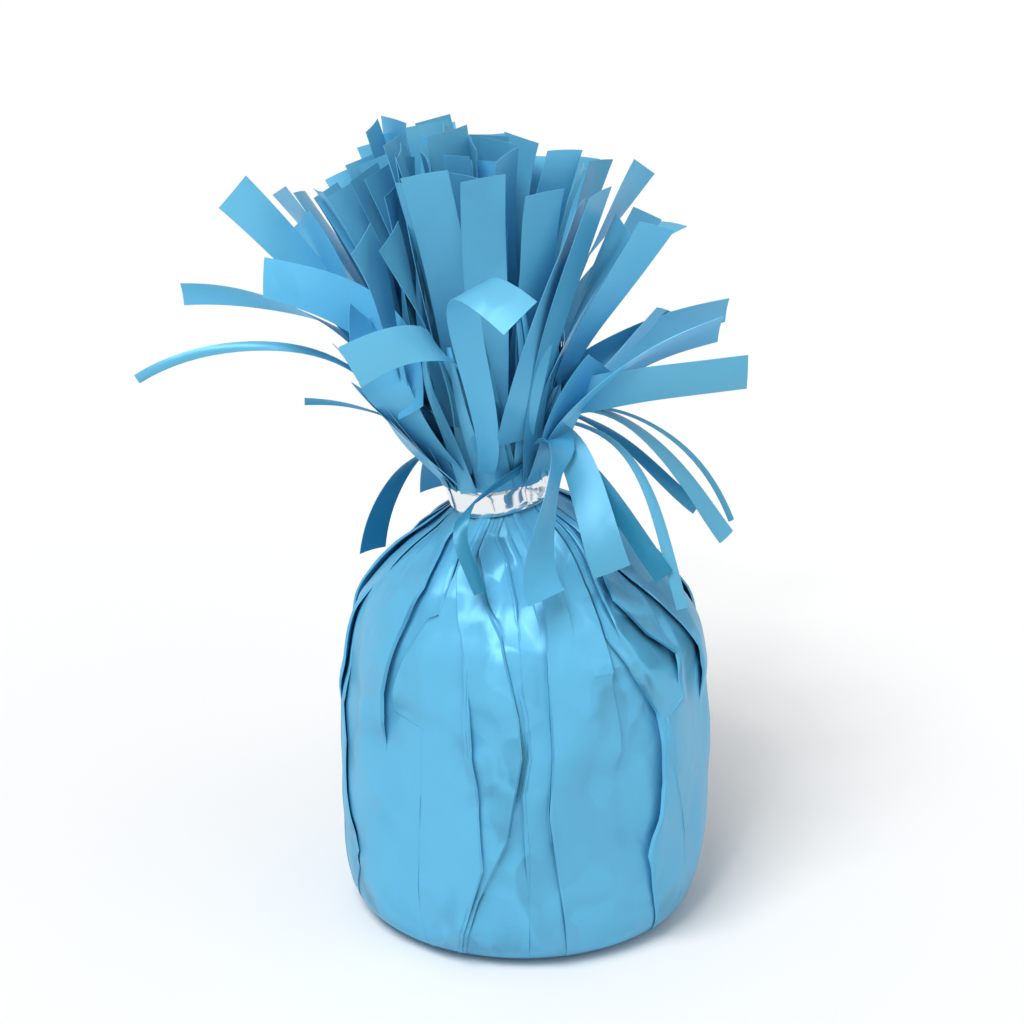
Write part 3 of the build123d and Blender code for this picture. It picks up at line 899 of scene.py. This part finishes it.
# %% The loose strips
STRIP_WIDTH = 7.5
STRIP_LENGTH = 41.0
COLLAR_HEIGHT = 16.0
COLLAR_RIM_RADIUS = 17.0
ROOT_CLEARANCE = 0.3
COLLAR_FLARE_SHARES = ((0.0, 0.0), (0.3, 0.18), (0.65, 0.55), (1.0, 1.0))
LOOSE_ANGLES_AND_SHARES = {
    "strip_left_long": (184, 0, 44, 110, 1.0, 0.1, 1.02, 0.35),
    "strip_left_upper": (166, 0, 33, 94, 1.0, 0.1, 0.92, 0.9),
    "strip_left_level": (228, 34, 18, 54, 1.0, 0.3, 0.76, 1.0),
    "strip_front_left_curl": (255, 50, 10, 45, 1.0, 0.3, 0.46, 1.0),
    "strip_front_curl": (277, -10, 12, 122, 1.0, 0.5, 0.72, 1.0),
    "strip_right_level": (-52, -88, 30, 52, 1.0, 0.3, 0.82, 1.0),
    "strip_right_raised": (-25, -88, 36, 52, 1.0, 0.3, 0.70, 0.95),
    "strip_rear_right_level": (46, 0, 60, 92, 1.0, 0.3, 0.80, 1.0),
    "strip_rear_curl": (92, 0, 40, 120, 1.0, 0.3, 0.80, 1.0),
    "strip_rear_left_level": (130, 0, 50, 88, 1.0, 0.3, 0.86, 1.0),
    "strip_front_wide": (-42, 0, 94, 166, 0.45, 0.1, 0.66, 0.9),
    "strip_right_narrow": (-8, -8, 90, 176, 0.45, 0.1, 0.94, 0.42),
    "strip_right_arch": (16, 0, 78, 174, 0.45, 0.1, 1.0, 0.62),
    "strip_rear_right_arch": (42, 0, 88, 146, 0.45, 0.1, 0.86, 0.55),
    "strip_left_short": (178, 0, 70, 76, 0.45, 0.5, 0.56, 0.3),
    "strip_front_thin": (-80, -26, 136, 162, 0.15, 0.4, 0.60, 0.36),
    "strip_front_twisted": (-54, -20, 132, 162, 0.15, 0.3, 0.64, 0.55),
    "strip_right_front_drop": (-20, -4, 106, 156, 0.15, 0.1, 0.74, 0.6),
    "strip_rear_hanging": (112, 0, 96, 158, 0.15, 0.1, 0.80, 0.8),
    "strip_left_hanging": (150, 0, 108, 170, 0.15, 0.1, 0.72, 0.7),
}
SEEN_STRIPS = {
    "strip_front_curl": ((486, 472, -10), (504, 410, -18), (404, 216, -21), -31, ((500, 328), (541, 309))),
    "strip_front_left_curl": ((464, 474, -8), (470, 326, -11), (424, 326, -20), -22, ((362, 390), (338, 345))),
    "strip_right_level": ((566, 398, -4), (600, 392, -12), (680, 378, -14), -13, ((741, 353), (754, 391))),
    "strip_right_raised": ((566, 392, 0), (600, 352, 0), (665, 326, 3), 6, ((733, 293), (721, 326))),
    "strip_left_level": (None, (410, 322, -3), (350, 297, -4), -8, ((257, 288), (271, 266))),
    "strip_left_upper": (None, (352, 316, 5), (262, 292, 9), 12, ((187, 305), (177, 284))),
    "strip_left_long": (None, (335, 336, -2), (215, 330, -3), -4, ((139, 384), (135, 374))),
    "strip_left_short": (None, (390, 412, 0), (345, 403, 1), 1, ((305, 396), (304, 406))),
    "strip_front_wide": (None, (579, 420, -6), (592, 520, -21), -22, ((593, 577), (631, 567))),
    "strip_front_twisted": ((552, 438, -10), (576, 450, -19), (522, 555, -23), -27, ((528, 600), (566, 596))),
    "strip_front_thin": ((552, 449, -5), (440, 520, -18), (450, 520, -20), -23.5, ((474, 594), (486, 592))),
    "strip_right_front_drop": (None, (585, 440, -5), (624, 524, -15), -17, ((655, 583), (674, 570))),
    "strip_right_narrow": (None, (645, 437, -5), (649, 487, -13), -18, ((676, 608), (689, 609))),
    "strip_right_arch": (None, (644, 394, 5), (686, 485, 8), 9, ((718, 538), (735, 536))),
    "strip_rear_right_arch": (None, (632, 428, 12), (662, 484, 18), 20, ((693, 514), (703, 504))),
    "strip_left_hanging": (None, (410, 446, 6), (380, 490, 9), 11, ((361, 548), (385, 553))),
}
# Shares of the full width, where a strip isn't drawn as wide as the CAD's
DRAWN_WIDTHS = {
    "strip_left_upper": 0.52,
    "strip_left_long": 0.22,
    "strip_front_twisted": 0.95,
    "strip_front_thin": 0.32,
    "strip_front_wide": 0.84,
    "strip_right_front_drop": 0.46,
    "strip_right_narrow": 0.26,
    "strip_right_arch": 0.42,
    "strip_rear_right_arch": 0.33,
}
# Painted light and shade: how much lighter or darker a strip is painted than the film's own colour, for the light
# or shade that falls on it
LOOSE_PAINTED_LIGHT = {
    "strip_front_thin": -0.36,
    "strip_front_twisted": -0.06,
    "strip_right_front_drop": -0.42,
    "strip_left_hanging": -0.28,
    "strip_left_short": -0.2,
    "strip_rear_right_arch": -0.24,
    "strip_right_narrow": -0.02,
    "strip_front_left_curl": 0.16,
    "strip_front_curl": 0.14,
    "strip_left_level": 0.16,
    "strip_front_wide": -0.06,
}
# Roots drawn in: share of the width, and which way the width lies there
GATHERED_ROOTS = {
    "strip_front_curl": (0.4, (1, 0, 0)),
    "strip_front_left_curl": (0.35, (1, 0, 0)),
    "strip_front_twisted": (0.9, (-0.25, -1, 0)),
    "strip_front_wide": (0.3, (0.4, 0, 0.9)),
    "strip_front_thin": (0.9, (0.5, 0, 0.85)),
    "strip_right_front_drop": (0.4, (0.5, 0, 0.85)),
    "strip_right_level": (0.75, (0, 0, 1)),
}
# How late a strip's width turns, and how soon it opens to its full width, as powers of the way along it
LATE_TWISTS = {"strip_front_twisted": 2.4}
SOON_WIDE = {"strip_front_wide": 0.3, "strip_right_front_drop": 0.4}
LOOSE_TONE_RANGE = (-0.02, 0.12)
PHASES = (0, 6)
STRIP_CURL = 0.25
SLIGHT_WAVE = 0.12
print("loose strips in sight", len(SEEN_STRIPS), "of", len(LOOSE_ANGLES_AND_SHARES))

# %% [markdown]
# A strip's path is read at four points, and a Bezier curve is laid through them. A cut end that is seen at two
# pixels gives the way the strip's width lies there.

# %% Paths and cut ends
def collar_reach(height):
    heights, flares = zip(*COLLAR_FLARE_SHARES)
    flare = np.interp(height / COLLAR_HEIGHT, heights, flares)
    return NECK_RADIUS + (COLLAR_RIM_RADIUS - NECK_RADIUS) * flare


def through(points):
    """The inner points of a Bezier curve that passes through four points at even steps."""
    q0, q1, q2, q3 = points
    return q0, (-5 * q0 + 18 * q1 - 9 * q2 + 2 * q3) / 6, (2 * q0 - 9 * q1 + 18 * q2 - 5 * q3) / 6, q3


def bent_path(place, length, bend, straight=0.0):
    """Four points of a strip that goes straight up its frame and then bends evenly towards its X."""
    first = length * straight
    turning = (length - first) / bend
    points = []
    for share in (0, 1 / 3, 2 / 3, 1):
        angle = max(length * share - first, 0) / turning
        rise = min(length * share, first) + turning * math.sin(angle)
        points.append(place @ Vector((turning * (1 - math.cos(angle)), 0, rise)))
    return points


def loose_curve(name):
    """The curve of a loose strip's CAD path, and the direction of its width."""
    azimuth, roll, tilt, tip_tilt, root, straight, length, width = LOOSE_ANGLES_AND_SHARES[name]
    height = COLLAR_HEIGHT * root
    corner = STRIP_WIDTH * width / 2 * abs(math.sin(math.radians(roll)))
    place = (
        round_neck(azimuth)
        @ Matrix.Translation((collar_reach(height + corner) + ROOT_CLEARANCE, 0, NECK_LENGTH + height))
        @ Matrix.Rotation(math.radians(roll), 4, "X")
        @ Matrix.Rotation(math.radians(tilt), 4, "Y")
    )
    points = bent_path(place, STRIP_LENGTH * length, math.radians(tip_tilt - tilt), straight)
    across = (place.to_3x3() @ Vector((0, 1, 0))) * (STRIP_WIDTH * width / 2)
    return through(points), across


def middle_of(corners):
    return [(a + b) / 2 for a, b in zip(*corners)]


def same_way(width, other):
    return -width if width.dot(other) < 0 else width


def end_width(corners, depth, width, near=1):
    """The half width at a cut end seen at two pixels, turned in depth until it is as wide as the strip."""
    left, right = at_pixel(corners[0], depth), at_pixel(corners[1], depth)
    half = (right - left) / 2
    missing = (width / 2) ** 2 - half.length_squared
    if missing > 0:
        half.y += near * math.sqrt(missing)
    else:
        half *= width / 2 / half.length
    return half


# %% [markdown]
# Each loose strip becomes one piece, a ribbon that bends along its path. One strip has a thinner one beside it
# that the CAD leaves out.

# %% Build the loose strips
# A thinner strip that hangs beside a loose one: share of its width, shift in pixels at the bend and tip
SECOND_STRIPS = {"strip_right_arch": (0.34, (18, -34), (5, -17))}
# The second strip is painted darker: painted shade on a strip that hangs.
SECOND_PAINTED_SHADE = -0.12


def loose_row(name):
    (p0, p1, p2, p3), across = loose_curve(name)
    if name in DRAWN_WIDTHS:
        across = across.normalized() * (STRIP_WIDTH * DRAWN_WIDTHS[name] / 2)
    w0, w1 = across.copy(), across.copy()
    if name in SEEN_STRIPS:
        start, first, second, depth, corners = SEEN_STRIPS[name]
        p1, p2 = (at_pixel(guide[:2], guide[2]) for guide in (first, second))
        p3 = at_pixel(middle_of(corners), depth)
        if start:
            p0 = at_pixel(start[:2], start[2])
        w1 = same_way(end_width(corners, p3.y, across.length * 2), across)
    if name in GATHERED_ROOTS:
        share, lie = GATHERED_ROOTS[name]
        w0 = Vector(lie).normalized() * (across.length * share)
        w1 = same_way(w1, w0)
    return strip_values(
        (p0, p1, p2, p3, w0, w1),
        curl=STRIP_CURL,
        wave=SLIGHT_WAVE,
        tone=LOOSE_PAINTED_LIGHT.get(name, random.uniform(*LOOSE_TONE_RANGE)),
        phase=random.uniform(*PHASES),
        late=LATE_TWISTS.get(name, 1.0),
        opening=SOON_WIDE.get(name, 1.0),
    )


def second_strip(row, width, bend, tip):
    across = Vector((1, 0, 0)) / PIXELS_PER_MM
    down = -UPWARD / PIXELS_PER_MM
    p2 = row["p2"] + across * bend[0] + down * bend[1]
    p3 = row["p3"] + across * tip[0] + down * tip[1]
    widths = {label: row[label] * width for label in ("w0", "w1")}
    return {**row, **widths, "p2": p2, "p3": p3, "tone": SECOND_PAINTED_SHADE}


random.seed(5)
for name in LOOSE_ANGLES_AND_SHARES:
    strips = [loose_row(name)]
    if name in SECOND_STRIPS:
        strips.append(second_strip(strips[0], *SECOND_STRIPS[name]))
    piece = ribbons(name + "_film", strips)
    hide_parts(name)
    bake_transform(piece)

# %% [markdown]
# The standing strips. The CAD has five rings of them, rooted side by side on the collar, and the same rule
# gives their roots here. Most lean outwards by a tilt and a bend of their ring. Those in front, named by their
# ring and their place in it, lean to a tip of their own, given as shares of the strip's length to the right,
# to the back and up. Where the photograph shows the cut end, its two corners are given as pixels, and where a
# strip is painted lighter or darker for the light or shade that falls on it, that painted tone comes last.

# %% The rings of the CAD
RING_SHARES = (0.12, 0.30, 0.48, 0.66, 0.84)
RING_COUNTS = (2, 4, 6, 9, 11)
RING_TILTS = (2, 7, 13, 19, 26)
RING_BENDS = (3, 5, 7, 9, 12)
RING_GAPS = {4: (5, 6)}
# The last value of each is painted light and shade: a tone for the light or shade that falls on that strip.
FRONT_STRIPS = {
    (2, 2): ((-0.45, 0.10, 0.85), ((367, 177), (386, 166)), None),
    (2, 3): ((-0.22, -0.34, 0.93), None, 0.02),
    (2, 4): ((0.38, -0.12, 0.95), ((549, 141), (580, 159)), 0.18),
    (2, 5): ((0.42, 0.16, 0.92), None, None),
    (3, 3): ((-0.59, 0.10, 0.77), ((320, 200), (355, 182)), None),
    (3, 4): ((-0.38, -0.34, 0.75), ((377, 231), (401, 241)), -0.06),
    (3, 5): ((0.05, -0.34, 0.93), ((460, 180), (505, 176)), -0.03),
    (3, 6): ((0.27, -0.30, 0.86), ((528, 188), (564, 199)), -0.04),
    (3, 7): ((0.47, 0.00, 0.94), ((589, 157), (614, 164)), -0.2),
    (3, 8): ((0.65, 0.29, 0.80), ((631, 160), (659, 173)), None),
    (4, 3): ((-1.01, 0.05, 0.79), ((218, 201), (247, 182)), 0.18),
    (4, 4): ((-0.50, -0.32, 0.73), ((350, 247), (369, 231)), None),
    (4, 7): ((0.47, -0.20, 0.88), ((588, 195), (613, 190)), -0.08),
    (4, 8): ((0.69, -0.15, 0.71), ((640, 218), (675, 236)), 0.16),
    (4, 9): ((0.65, 0.20, 0.63), ((632, 204), (663, 222)), None),
}
NOT_IN_FRONT = (None, None, None)
LEAN_BEND = math.radians(14)
STRAIGHT_SHARE = 0.3
CUT_SPREAD_SHARE = 0.14
GOLDEN_SHARE = 0.618
ROOT_TUCK = 5.0
ROOT_PINCH = 0.85
GATHERED_WIDTH = 0.5
TIP_PULL = 0.75
TONE_RANGE = (-0.06, 0.16)
WAVES = (0.05, 0.25)
TIE_EDGE = (8.7, 4.4)
rim_middle = neck_frame @ Vector((0, 0, NECK_LENGTH + COLLAR_HEIGHT))


def ring_path(ring, place_in_ring, azimuth, inset=0.0, tilt_more=0.0):
    """The path of one standing strip and the direction of its width, as the CAD has them."""
    reach = COLLAR_RIM_RADIUS * RING_SHARES[ring] - inset
    rise = NECK_LENGTH + COLLAR_HEIGHT + ROOT_CLEARANCE
    root = round_neck(azimuth) @ Matrix.Translation((reach, 0, rise))
    tip_share = FRONT_STRIPS.get((ring, place_in_ring), NOT_IN_FRONT)[0]
    if tip_share:
        chord = rim_middle + Vector(tip_share) * STRIP_LENGTH - root.translation
        along = chord.normalized()
        out = root.to_3x3().col[0]
        out = (out - along * out.dot(along)).normalized()
        frame_of_strip = Matrix((out, along.cross(out), along)).transposed().to_4x4()
        frame_of_strip.translation = root.translation
        bow = LEAN_BEND / 2
        frame_of_strip = frame_of_strip @ Matrix.Rotation(-bow, 4, "Y")
        points = bent_path(frame_of_strip, chord.length * bow / math.sin(bow), LEAN_BEND)
        return points, frame_of_strip.to_3x3().col[1]
    uneven = (place_in_ring + ring) * GOLDEN_SHARE % 1
    length = STRIP_LENGTH * (1 - CUT_SPREAD_SHARE * uneven)
    tilted = root @ Matrix.Rotation(math.radians(RING_TILTS[ring] + tilt_more), 4, "Y")
    return bent_path(tilted, length, math.radians(RING_BENDS[ring]), STRAIGHT_SHARE), tilted.to_3x3().col[1]


def strip_row(points, across, twist, corners=None, width=STRIP_WIDTH, curl=STRIP_CURL, tone=None, gathered=False):
    """The values of one ribbon from its path. Its root is gathered, or tucked down into the gathers."""
    p0, p1, p2, p3 = through(points)
    w0 = across * (width / 2 * ROOT_PINCH)
    w1 = Matrix.Rotation(twist, 3, (p3 - p2).normalized()) @ (across * (width / 2))
    if corners:
        tip = at_pixel(middle_of(corners), p3.y)
        p2, p3 = p2 + (tip - p3) * TIP_PULL, tip
        w1 = same_way(end_width(corners, tip.y, width), w0)
    if gathered:
        w0 = w0 * GATHERED_WIDTH
    else:
        p0 = p0 - (p1 - p0).normalized() * ROOT_TUCK
    if tone is None:
        tone = random.uniform(*TONE_RANGE)
    wave, phase = random.uniform(*WAVES), random.uniform(*PHASES)
    return strip_values((p0, p1, p2, p3, w0, w1), curl=curl, tone=tone, wave=wave, phase=phase)


# %% [markdown]
# A real fringe is fuller than the CAD: between the strips of each ring stand others, a little further in,
# shorter or turned on edge. A few more are seen in the photograph by their cut ends alone. Each of those is
# given its root (azimuth, shares of the rim's radius and the collar's height), the two corners, its depth,
# and which way the end is turned.

# %% The filling of the fringe
EXTRA_STRIPS = {
    "left_behind": (188, 0.7, 1.0, (290, 235), (310, 206), 4, -1),
    "left_edge_on": (215, 0.6, 1.0, (385, 190), (394, 193), 2, 1),
    "top_left_a": (150, 0.5, 1.0, (366, 126), (376, 125), 18, 1),
    "top_left_b": (130, 0.4, 1.0, (380, 121), (406, 118), 20, -1),
    "top_left_c": (110, 0.4, 1.0, (416, 119), (450, 118), 22, 1),
    "vee_left": (225, 0.3, 1.0, (420, 141), (437, 137), 10, -1),
    "vee_right": (235, 0.3, 1.0, (444, 119), (462, 141), 8, 1),
    "vee_low": (230, 0.5, 1.0, (396, 150), (414, 163), 2, 1),
    "top_a": (80, 0.4, 1.0, (464, 134), (505, 136), 20, 1),
    "top_b": (60, 0.4, 1.0, (505, 136), (539, 139), 22, -1),
    "middle_behind": (275, 0.3, 1.0, (466, 163), (507, 159), 0, -1),
    "right_front_edge": (290, 0.8, 0.8, (574, 206), (585, 205), -7, 1),
    "right_between": (325, 0.65, 1.0, (617, 219), (631, 228), -1, -1),
    "right_short": (345, 0.9, 0.9, (656, 301), (672, 318), 0, 1),
    "right_pair": (325, 0.95, 0.75, (722, 311), (718, 346), -9, 1),
    "flank_left_a": (215, 0.9, 0.3, (352, 378), (378, 408), -4, 1),
    "flank_left_b": (205, 0.9, 0.3, (333, 340), (352, 375), -2, 1),
    "flank_left_d": (225, 0.8, 0.4, (350, 300), (378, 330), -6, 1),
    "flank_right_a": (318, 0.9, 0.3, (588, 350), (614, 378), -9, 1),
}
# The top edge of the fringe in the photograph
TOP_EDGE = (
    (150, 300),
    (215, 185),
    (320, 182),
    (366, 128),
    (450, 118),
    (540, 140),
    (615, 160),
    (665, 176),
    (720, 260),
)
CUTS = (1.0, 0.95, 0.9, 0.85, 0.8, 0.75, 0.7)
# Shares of the strip's span from its ends to the guide points of its curve
ROOT_GUIDE = 0.36
TIP_GUIDE = 0.34


def seen_row(azimuth, share, height, corner_a, corner_b, depth, near):
    corners = (corner_a, corner_b)
    out = round_neck(azimuth)
    lean = Vector((0.25 + 0.5 * share, 0, 1)).normalized()
    rise = NECK_LENGTH + COLLAR_HEIGHT * height - ROOT_TUCK
    p0 = out @ Vector((COLLAR_RIM_RADIUS * share * (0.45 + 0.5 * height), 0, rise))
    p3 = at_pixel(middle_of(corners), depth)
    w0 = (out.to_3x3() @ Vector((0, 1, 0))) * (STRIP_WIDTH / 2 * ROOT_PINCH)
    w1 = same_way(end_width(corners, depth, STRIP_WIDTH, near), w0)
    span = p3 - p0
    end = (span - w1 * (span.dot(w1) / w1.length_squared)).normalized()
    p1 = p0 + (out.to_3x3() @ lean) * (span.length * ROOT_GUIDE)
    p2 = p3 - end * (span.length * TIP_GUIDE)
    tone, phase = random.uniform(*TONE_RANGE), random.uniform(*PHASES)
    return strip_values((p0, p1, p2, p3, w0, w1), curl=STRIP_CURL, tone=tone, wave=SLIGHT_WAVE, phase=phase)


def from_tie(points, azimuth):
    """The path of an outer strip, begun at the tie, where its film is gathered."""
    tie_edge = round_neck(azimuth) @ Vector((TIE_EDGE[0], 0, TIE_EDGE[1]))
    return [tie_edge, points[0], (points[1] + points[2]) / 2, points[3]]


def below_top(row):
    """The same strip, cut shorter where it would stand above the fringe's top edge."""
    root = row["p0"]
    for cut in CUTS:
        shorter = {label: root + (row[label] - root) * cut for label in CURVE_POINTS}
        corners = to_pixels([shorter["p3"] - row["w1"], shorter["p3"] + row["w1"]])
        if all(y >= np.interp(x, *zip(*TOP_EDGE)) for x, y in corners):
            break
    return {**row, **shorter}


# %% [markdown]
# Below the slits the strips run together into gathers that fan out from the tie. Each is drawn as a narrow
# ribbon that follows the flare of the collar, wider on the left, where the film was pulled out further.

# %% The gathers
GATHERS = 34
GATHER_STATIONS = ((8.5, 4.6), (10.4, 13.0), (12.4, 22.0), (12.6, 33.0))
GATHER_ROOT = 0.4
GATHER_POINT = 0.1
GATHER_WIDTHS = (6.0, 9.5)
GATHER_OFFSETS = (0.0, 1.1)
GATHER_ENDS = (-4, 3)
GATHER_DRIFT = 1.6
GATHER_TWIST = 22
GATHER_CURLS = (-0.2, 0.3)
GATHER_TONES = (-0.08, 0.16)
LEFT_FLARE = 0.28
FLARE_AZIMUTH = 200


def gather_row(i):
    azimuth = 360 * (i + random.uniform(-0.35, 0.35)) / GATHERS
    left = max(0.0, math.cos(math.radians(azimuth - FLARE_AZIMUTH))) ** 2
    turn = round_neck(azimuth)
    drift = random.gauss(0, GATHER_DRIFT)
    off = random.uniform(*GATHER_OFFSETS)
    points = []
    for k, (radius, height) in enumerate(GATHER_STATIONS):
        flared = radius * (1 + LEFT_FLARE * left * k / 3) + off
        end = random.uniform(*GATHER_ENDS) * (k == 3)
        points.append(turn @ Vector((flared, drift * k / 3, height + end)))
    twist = math.radians(random.gauss(0, GATHER_TWIST))
    row = strip_row(points, turn.to_3x3().col[1], twist, width=random.uniform(*GATHER_WIDTHS))
    row.update(p0=points[0], w0=row["w0"] * GATHER_ROOT, w1=row["w1"] * GATHER_POINT, crumple=1.0)
    row.update(curl=random.uniform(*GATHER_CURLS), tone=random.uniform(*GATHER_TONES))
    return row


# %% Build the rings
FILL_INSET = 1.4
FILL_TILT = -2.5
FILL_TWIST = 35
FILL_CURLS = (-0.4, 0.6)
RING_TWIST = 12

random.seed(8)
rings = [[] for _ in RING_SHARES]
rings[-1] += [gather_row(i) for i in range(GATHERS)]
for values in EXTRA_STRIPS.values():
    ring = min(range(len(RING_SHARES)), key=lambda k: abs(RING_SHARES[k] - values[1]))
    rings[ring].append(seen_row(*values))
for ring, count in enumerate(RING_COUNTS):
    outer = ring == len(RING_COUNTS) - 1
    for i in range(count):
        if i in RING_GAPS.get(ring, ()):
            continue
        tip, corners, tone = FRONT_STRIPS.get((ring, i), NOT_IN_FRONT)
        azimuth = 360 * (i + ring * GOLDEN_SHARE) / count
        points, across = ring_path(ring, i, azimuth)
        twist = math.radians(random.gauss(0, RING_TWIST))
        if outer:
            points = from_tie(points, azimuth)
        row = strip_row(points, across, twist, corners, tone=tone, gathered=outer)
        rings[ring].append(row if corners else below_top(row))
        if tip:
            continue
        azimuth += 180 / count
        points, across = ring_path(ring, i, azimuth, FILL_INSET, FILL_TILT)
        twist = math.radians(random.gauss(0, FILL_TWIST))
        if outer:
            points = from_tie(points, azimuth)
        curl = random.uniform(*FILL_CURLS)
        rings[ring].append(below_top(strip_row(points, across, twist, curl=curl, gathered=outer)))
for ring, strips in enumerate(rings):
    piece = ribbons(f"fringe_ring_{ring + 1}_film", strips)
    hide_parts(f"fringe_ring_{ring + 1}")
    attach(piece, "weight")
print("standing strips", sum(len(strips) for strips in rings))

# %% [markdown]
# The twist tie: a strip of metallised film that goes nearly twice round the neck. It is drawn as a band in
# rows, a little narrower and further out towards its end, and crumpled by the same kind of creases as the film,
# more on the right, where it was pulled tight, than on the left, where it lies smooth.

# %% The tie
TIE_WIDTH = 5.0
TIE_RADIUS = 8.55
TIE_TURNS = 1.85
TIE_STEPS = 260
TIE_COLUMNS = 13
TIE_TILT = math.radians(-3)
TIE_CREASES = 70
TIE_CREASE_HEIGHT = (0.08, 0.32)
TIE_CREASE_WIDTH = (0.5, 1.1)
TIE_CREASE_LENGTH = (1.5, 3.5)
TIE_START = math.radians(60)
TIE_SMOOTH = math.radians(225)


def tie_band():
    turn = np.linspace(0, 2 * math.pi * TIE_TURNS, TIE_STEPS)
    angle, level = np.meshgrid(TIE_START + turn, np.linspace(-1, 1, TIE_COLUMNS), indexing="ij")
    share = (turn / turn[-1])[:, None]
    half = TIE_WIDTH / 2
    up = NECK_LENGTH / 2 + level * half * (1 - 0.18 * share) + 0.5 * np.sin(angle + 0.6) * share
    crumple = 0 * angle
    for _ in range(TIE_CREASES):
        middle, height = rng.uniform(0, turn[-1]), rng.uniform(-2.4, 2.4)
        lean = rng.normal(math.pi / 2, 0.6)
        size = rng.uniform(*TIE_CREASE_HEIGHT) * rng.choice([-1, 1])
        from_smooth = abs((middle + TIE_START - TIE_SMOOTH + math.pi) % (2 * math.pi) - math.pi)
        size *= soft_step((from_smooth - 0.4) / 0.5) * 0.9 + 0.1
        on, off = off_crease((turn[:, None] - middle) * TIE_RADIUS, level * half - height, lean)
        width, length = rng.uniform(*TIE_CREASE_WIDTH), rng.uniform(*TIE_CREASE_LENGTH)
        crumple += size * np.clip(1 - off / width, 0, 1) * np.clip(1 - (on / length) ** 2, 0, 1)
    out = TIE_RADIUS + 0.3 * share - 0.22 * level**6 + crumple
    centre = Matrix.Translation((0, 0, NECK_LENGTH / 2))
    place = neck_frame @ centre @ Matrix.Rotation(TIE_TILT, 4, "Y") @ centre.inverted()
    points = ring_points(place, out, angle, up).reshape(-1, 3)
    faces = []
    for i in range(TIE_STEPS - 1):
        for j in range(TIE_COLUMNS - 1):
            k = i * TIE_COLUMNS + j
            faces.append((k, k + TIE_COLUMNS, k + TIE_COLUMNS + 1, k + 1))
    return mesh_object("tie_foil_band", points, faces, foil)


tie = tie_band()
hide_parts("tie_foil")
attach(tie, "weight")

# %% The twisted ends of the tie
TAIL_LENGTH = 13.0
TAIL_WIDTH = 3.4
TAIL_AZIMUTH = 78
TAIL_TURNS = 1.5
TAIL_STEPS = 60
TAIL_ROOT = 3.0
TAIL_ROOT_SHARE = 0.12
TAIL_GAP = 0.15
# One side of the flat section, in half widths; the other side is the same, turned about
TAIL_SIDE = ((-1, -0.14), (-0.5, -0.2), (0, -0.14), (0.5, -0.2), (1, -0.14))


def tie_tail():
    start = next(Vector(j["pos_m"]) / MM for j in frame["joints"] if j["name"] == "tie_tail_bend")
    place = round_neck(TAIL_AZIMUTH).to_3x3()
    outline = TAIL_SIDE + tuple((-a, -b) for a, b in TAIL_SIDE)
    points = []
    for i in range(TAIL_STEPS + 1):
        share = i / TAIL_STEPS
        spin = 2 * math.pi * TAIL_TURNS * share
        slim = min(1.0, TAIL_ROOT_SHARE + share * TAIL_LENGTH / TAIL_ROOT)
        for a, b in outline:
            wide, thick = a * TAIL_WIDTH / 2 * slim, b * TAIL_WIDTH / 2
            y = wide * math.cos(spin) - thick * math.sin(spin)
            z = wide * math.sin(spin) + thick * math.cos(spin)
            points.append(start + place @ Vector((TAIL_LENGTH * share + TAIL_GAP, z, y)))
    n = len(outline)
    ends = [tuple(reversed(range(n))), tuple(range(TAIL_STEPS * n, TAIL_STEPS * n + n))]
    return mesh_object("tie_tail_twist", points, sheet_faces(TAIL_STEPS + 1, n) + ends, foil)


tail = tie_tail()
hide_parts("tie_tail")
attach(tail, "tie_tail")
print("tie triangles", 2 * len(tie.data.polygons), "tail", 2 * len(tail.data.polygons))

# %% [markdown]
# Below the tie the film was a disc whose radius is the way along the sheet from the middle of the base to the
# tie, and its fringe and collar are the rest of the same sheet.

# %% [markdown]
# The studio: a pale floor that runs out of sight, an even white surround, and three suns. A broad one from the
# front left, high up, is the main light. A small weak one puts glints on the film, and a very broad weak one
# fills in from the right.

# %% Floor and light
FLOOR_HALF = 3.0
FLOOR_SHADER = {"Base Color": linear("#e8e8e8"), "Roughness": 0.9}
SURROUND_STRENGTH = 0.55
# Each sun: where it shines to, its strength, and how wide it looks in degrees
SUNS = {
    "key": ((0.30, 0.46, -1.0), 2.2, 26),
    "glint": ((0.28, 0.80, -0.85), 0.2, 4),
    "fill": ((-0.7, 0.5, -0.5), 0.3, 60),
}


def sun(name, toward, strength, spread):
    data = bpy.data.lights.new(name, "SUN")
    data.energy = strength
    data.angle = math.radians(spread)
    lamp = new_object(name, data)
    lamp.location = (0, 0, 1)
    lamp.rotation_euler = Vector(toward).to_track_quat("-Z", "Y").to_euler()


side = FLOOR_HALF / MM
corners = [(-side, -side, 0), (side, -side, 0), (side, side, 0), (-side, side, 0)]
floor = mesh_object("floor", corners, [(0, 1, 2, 3)], new_material("white_floor", FLOOR_SHADER)[0])

world = bpy.data.worlds.new("studio")
bpy.context.scene.world = world
world.use_nodes = True
surround = world.node_tree.nodes["Background"]
surround.inputs["Color"].default_value = linear("#ffffff")
surround.inputs["Strength"].default_value = SURROUND_STRENGTH
for name, values in SUNS.items():
    sun(name, *values)
bpy.context.scene.view_settings.view_transform = "Standard"
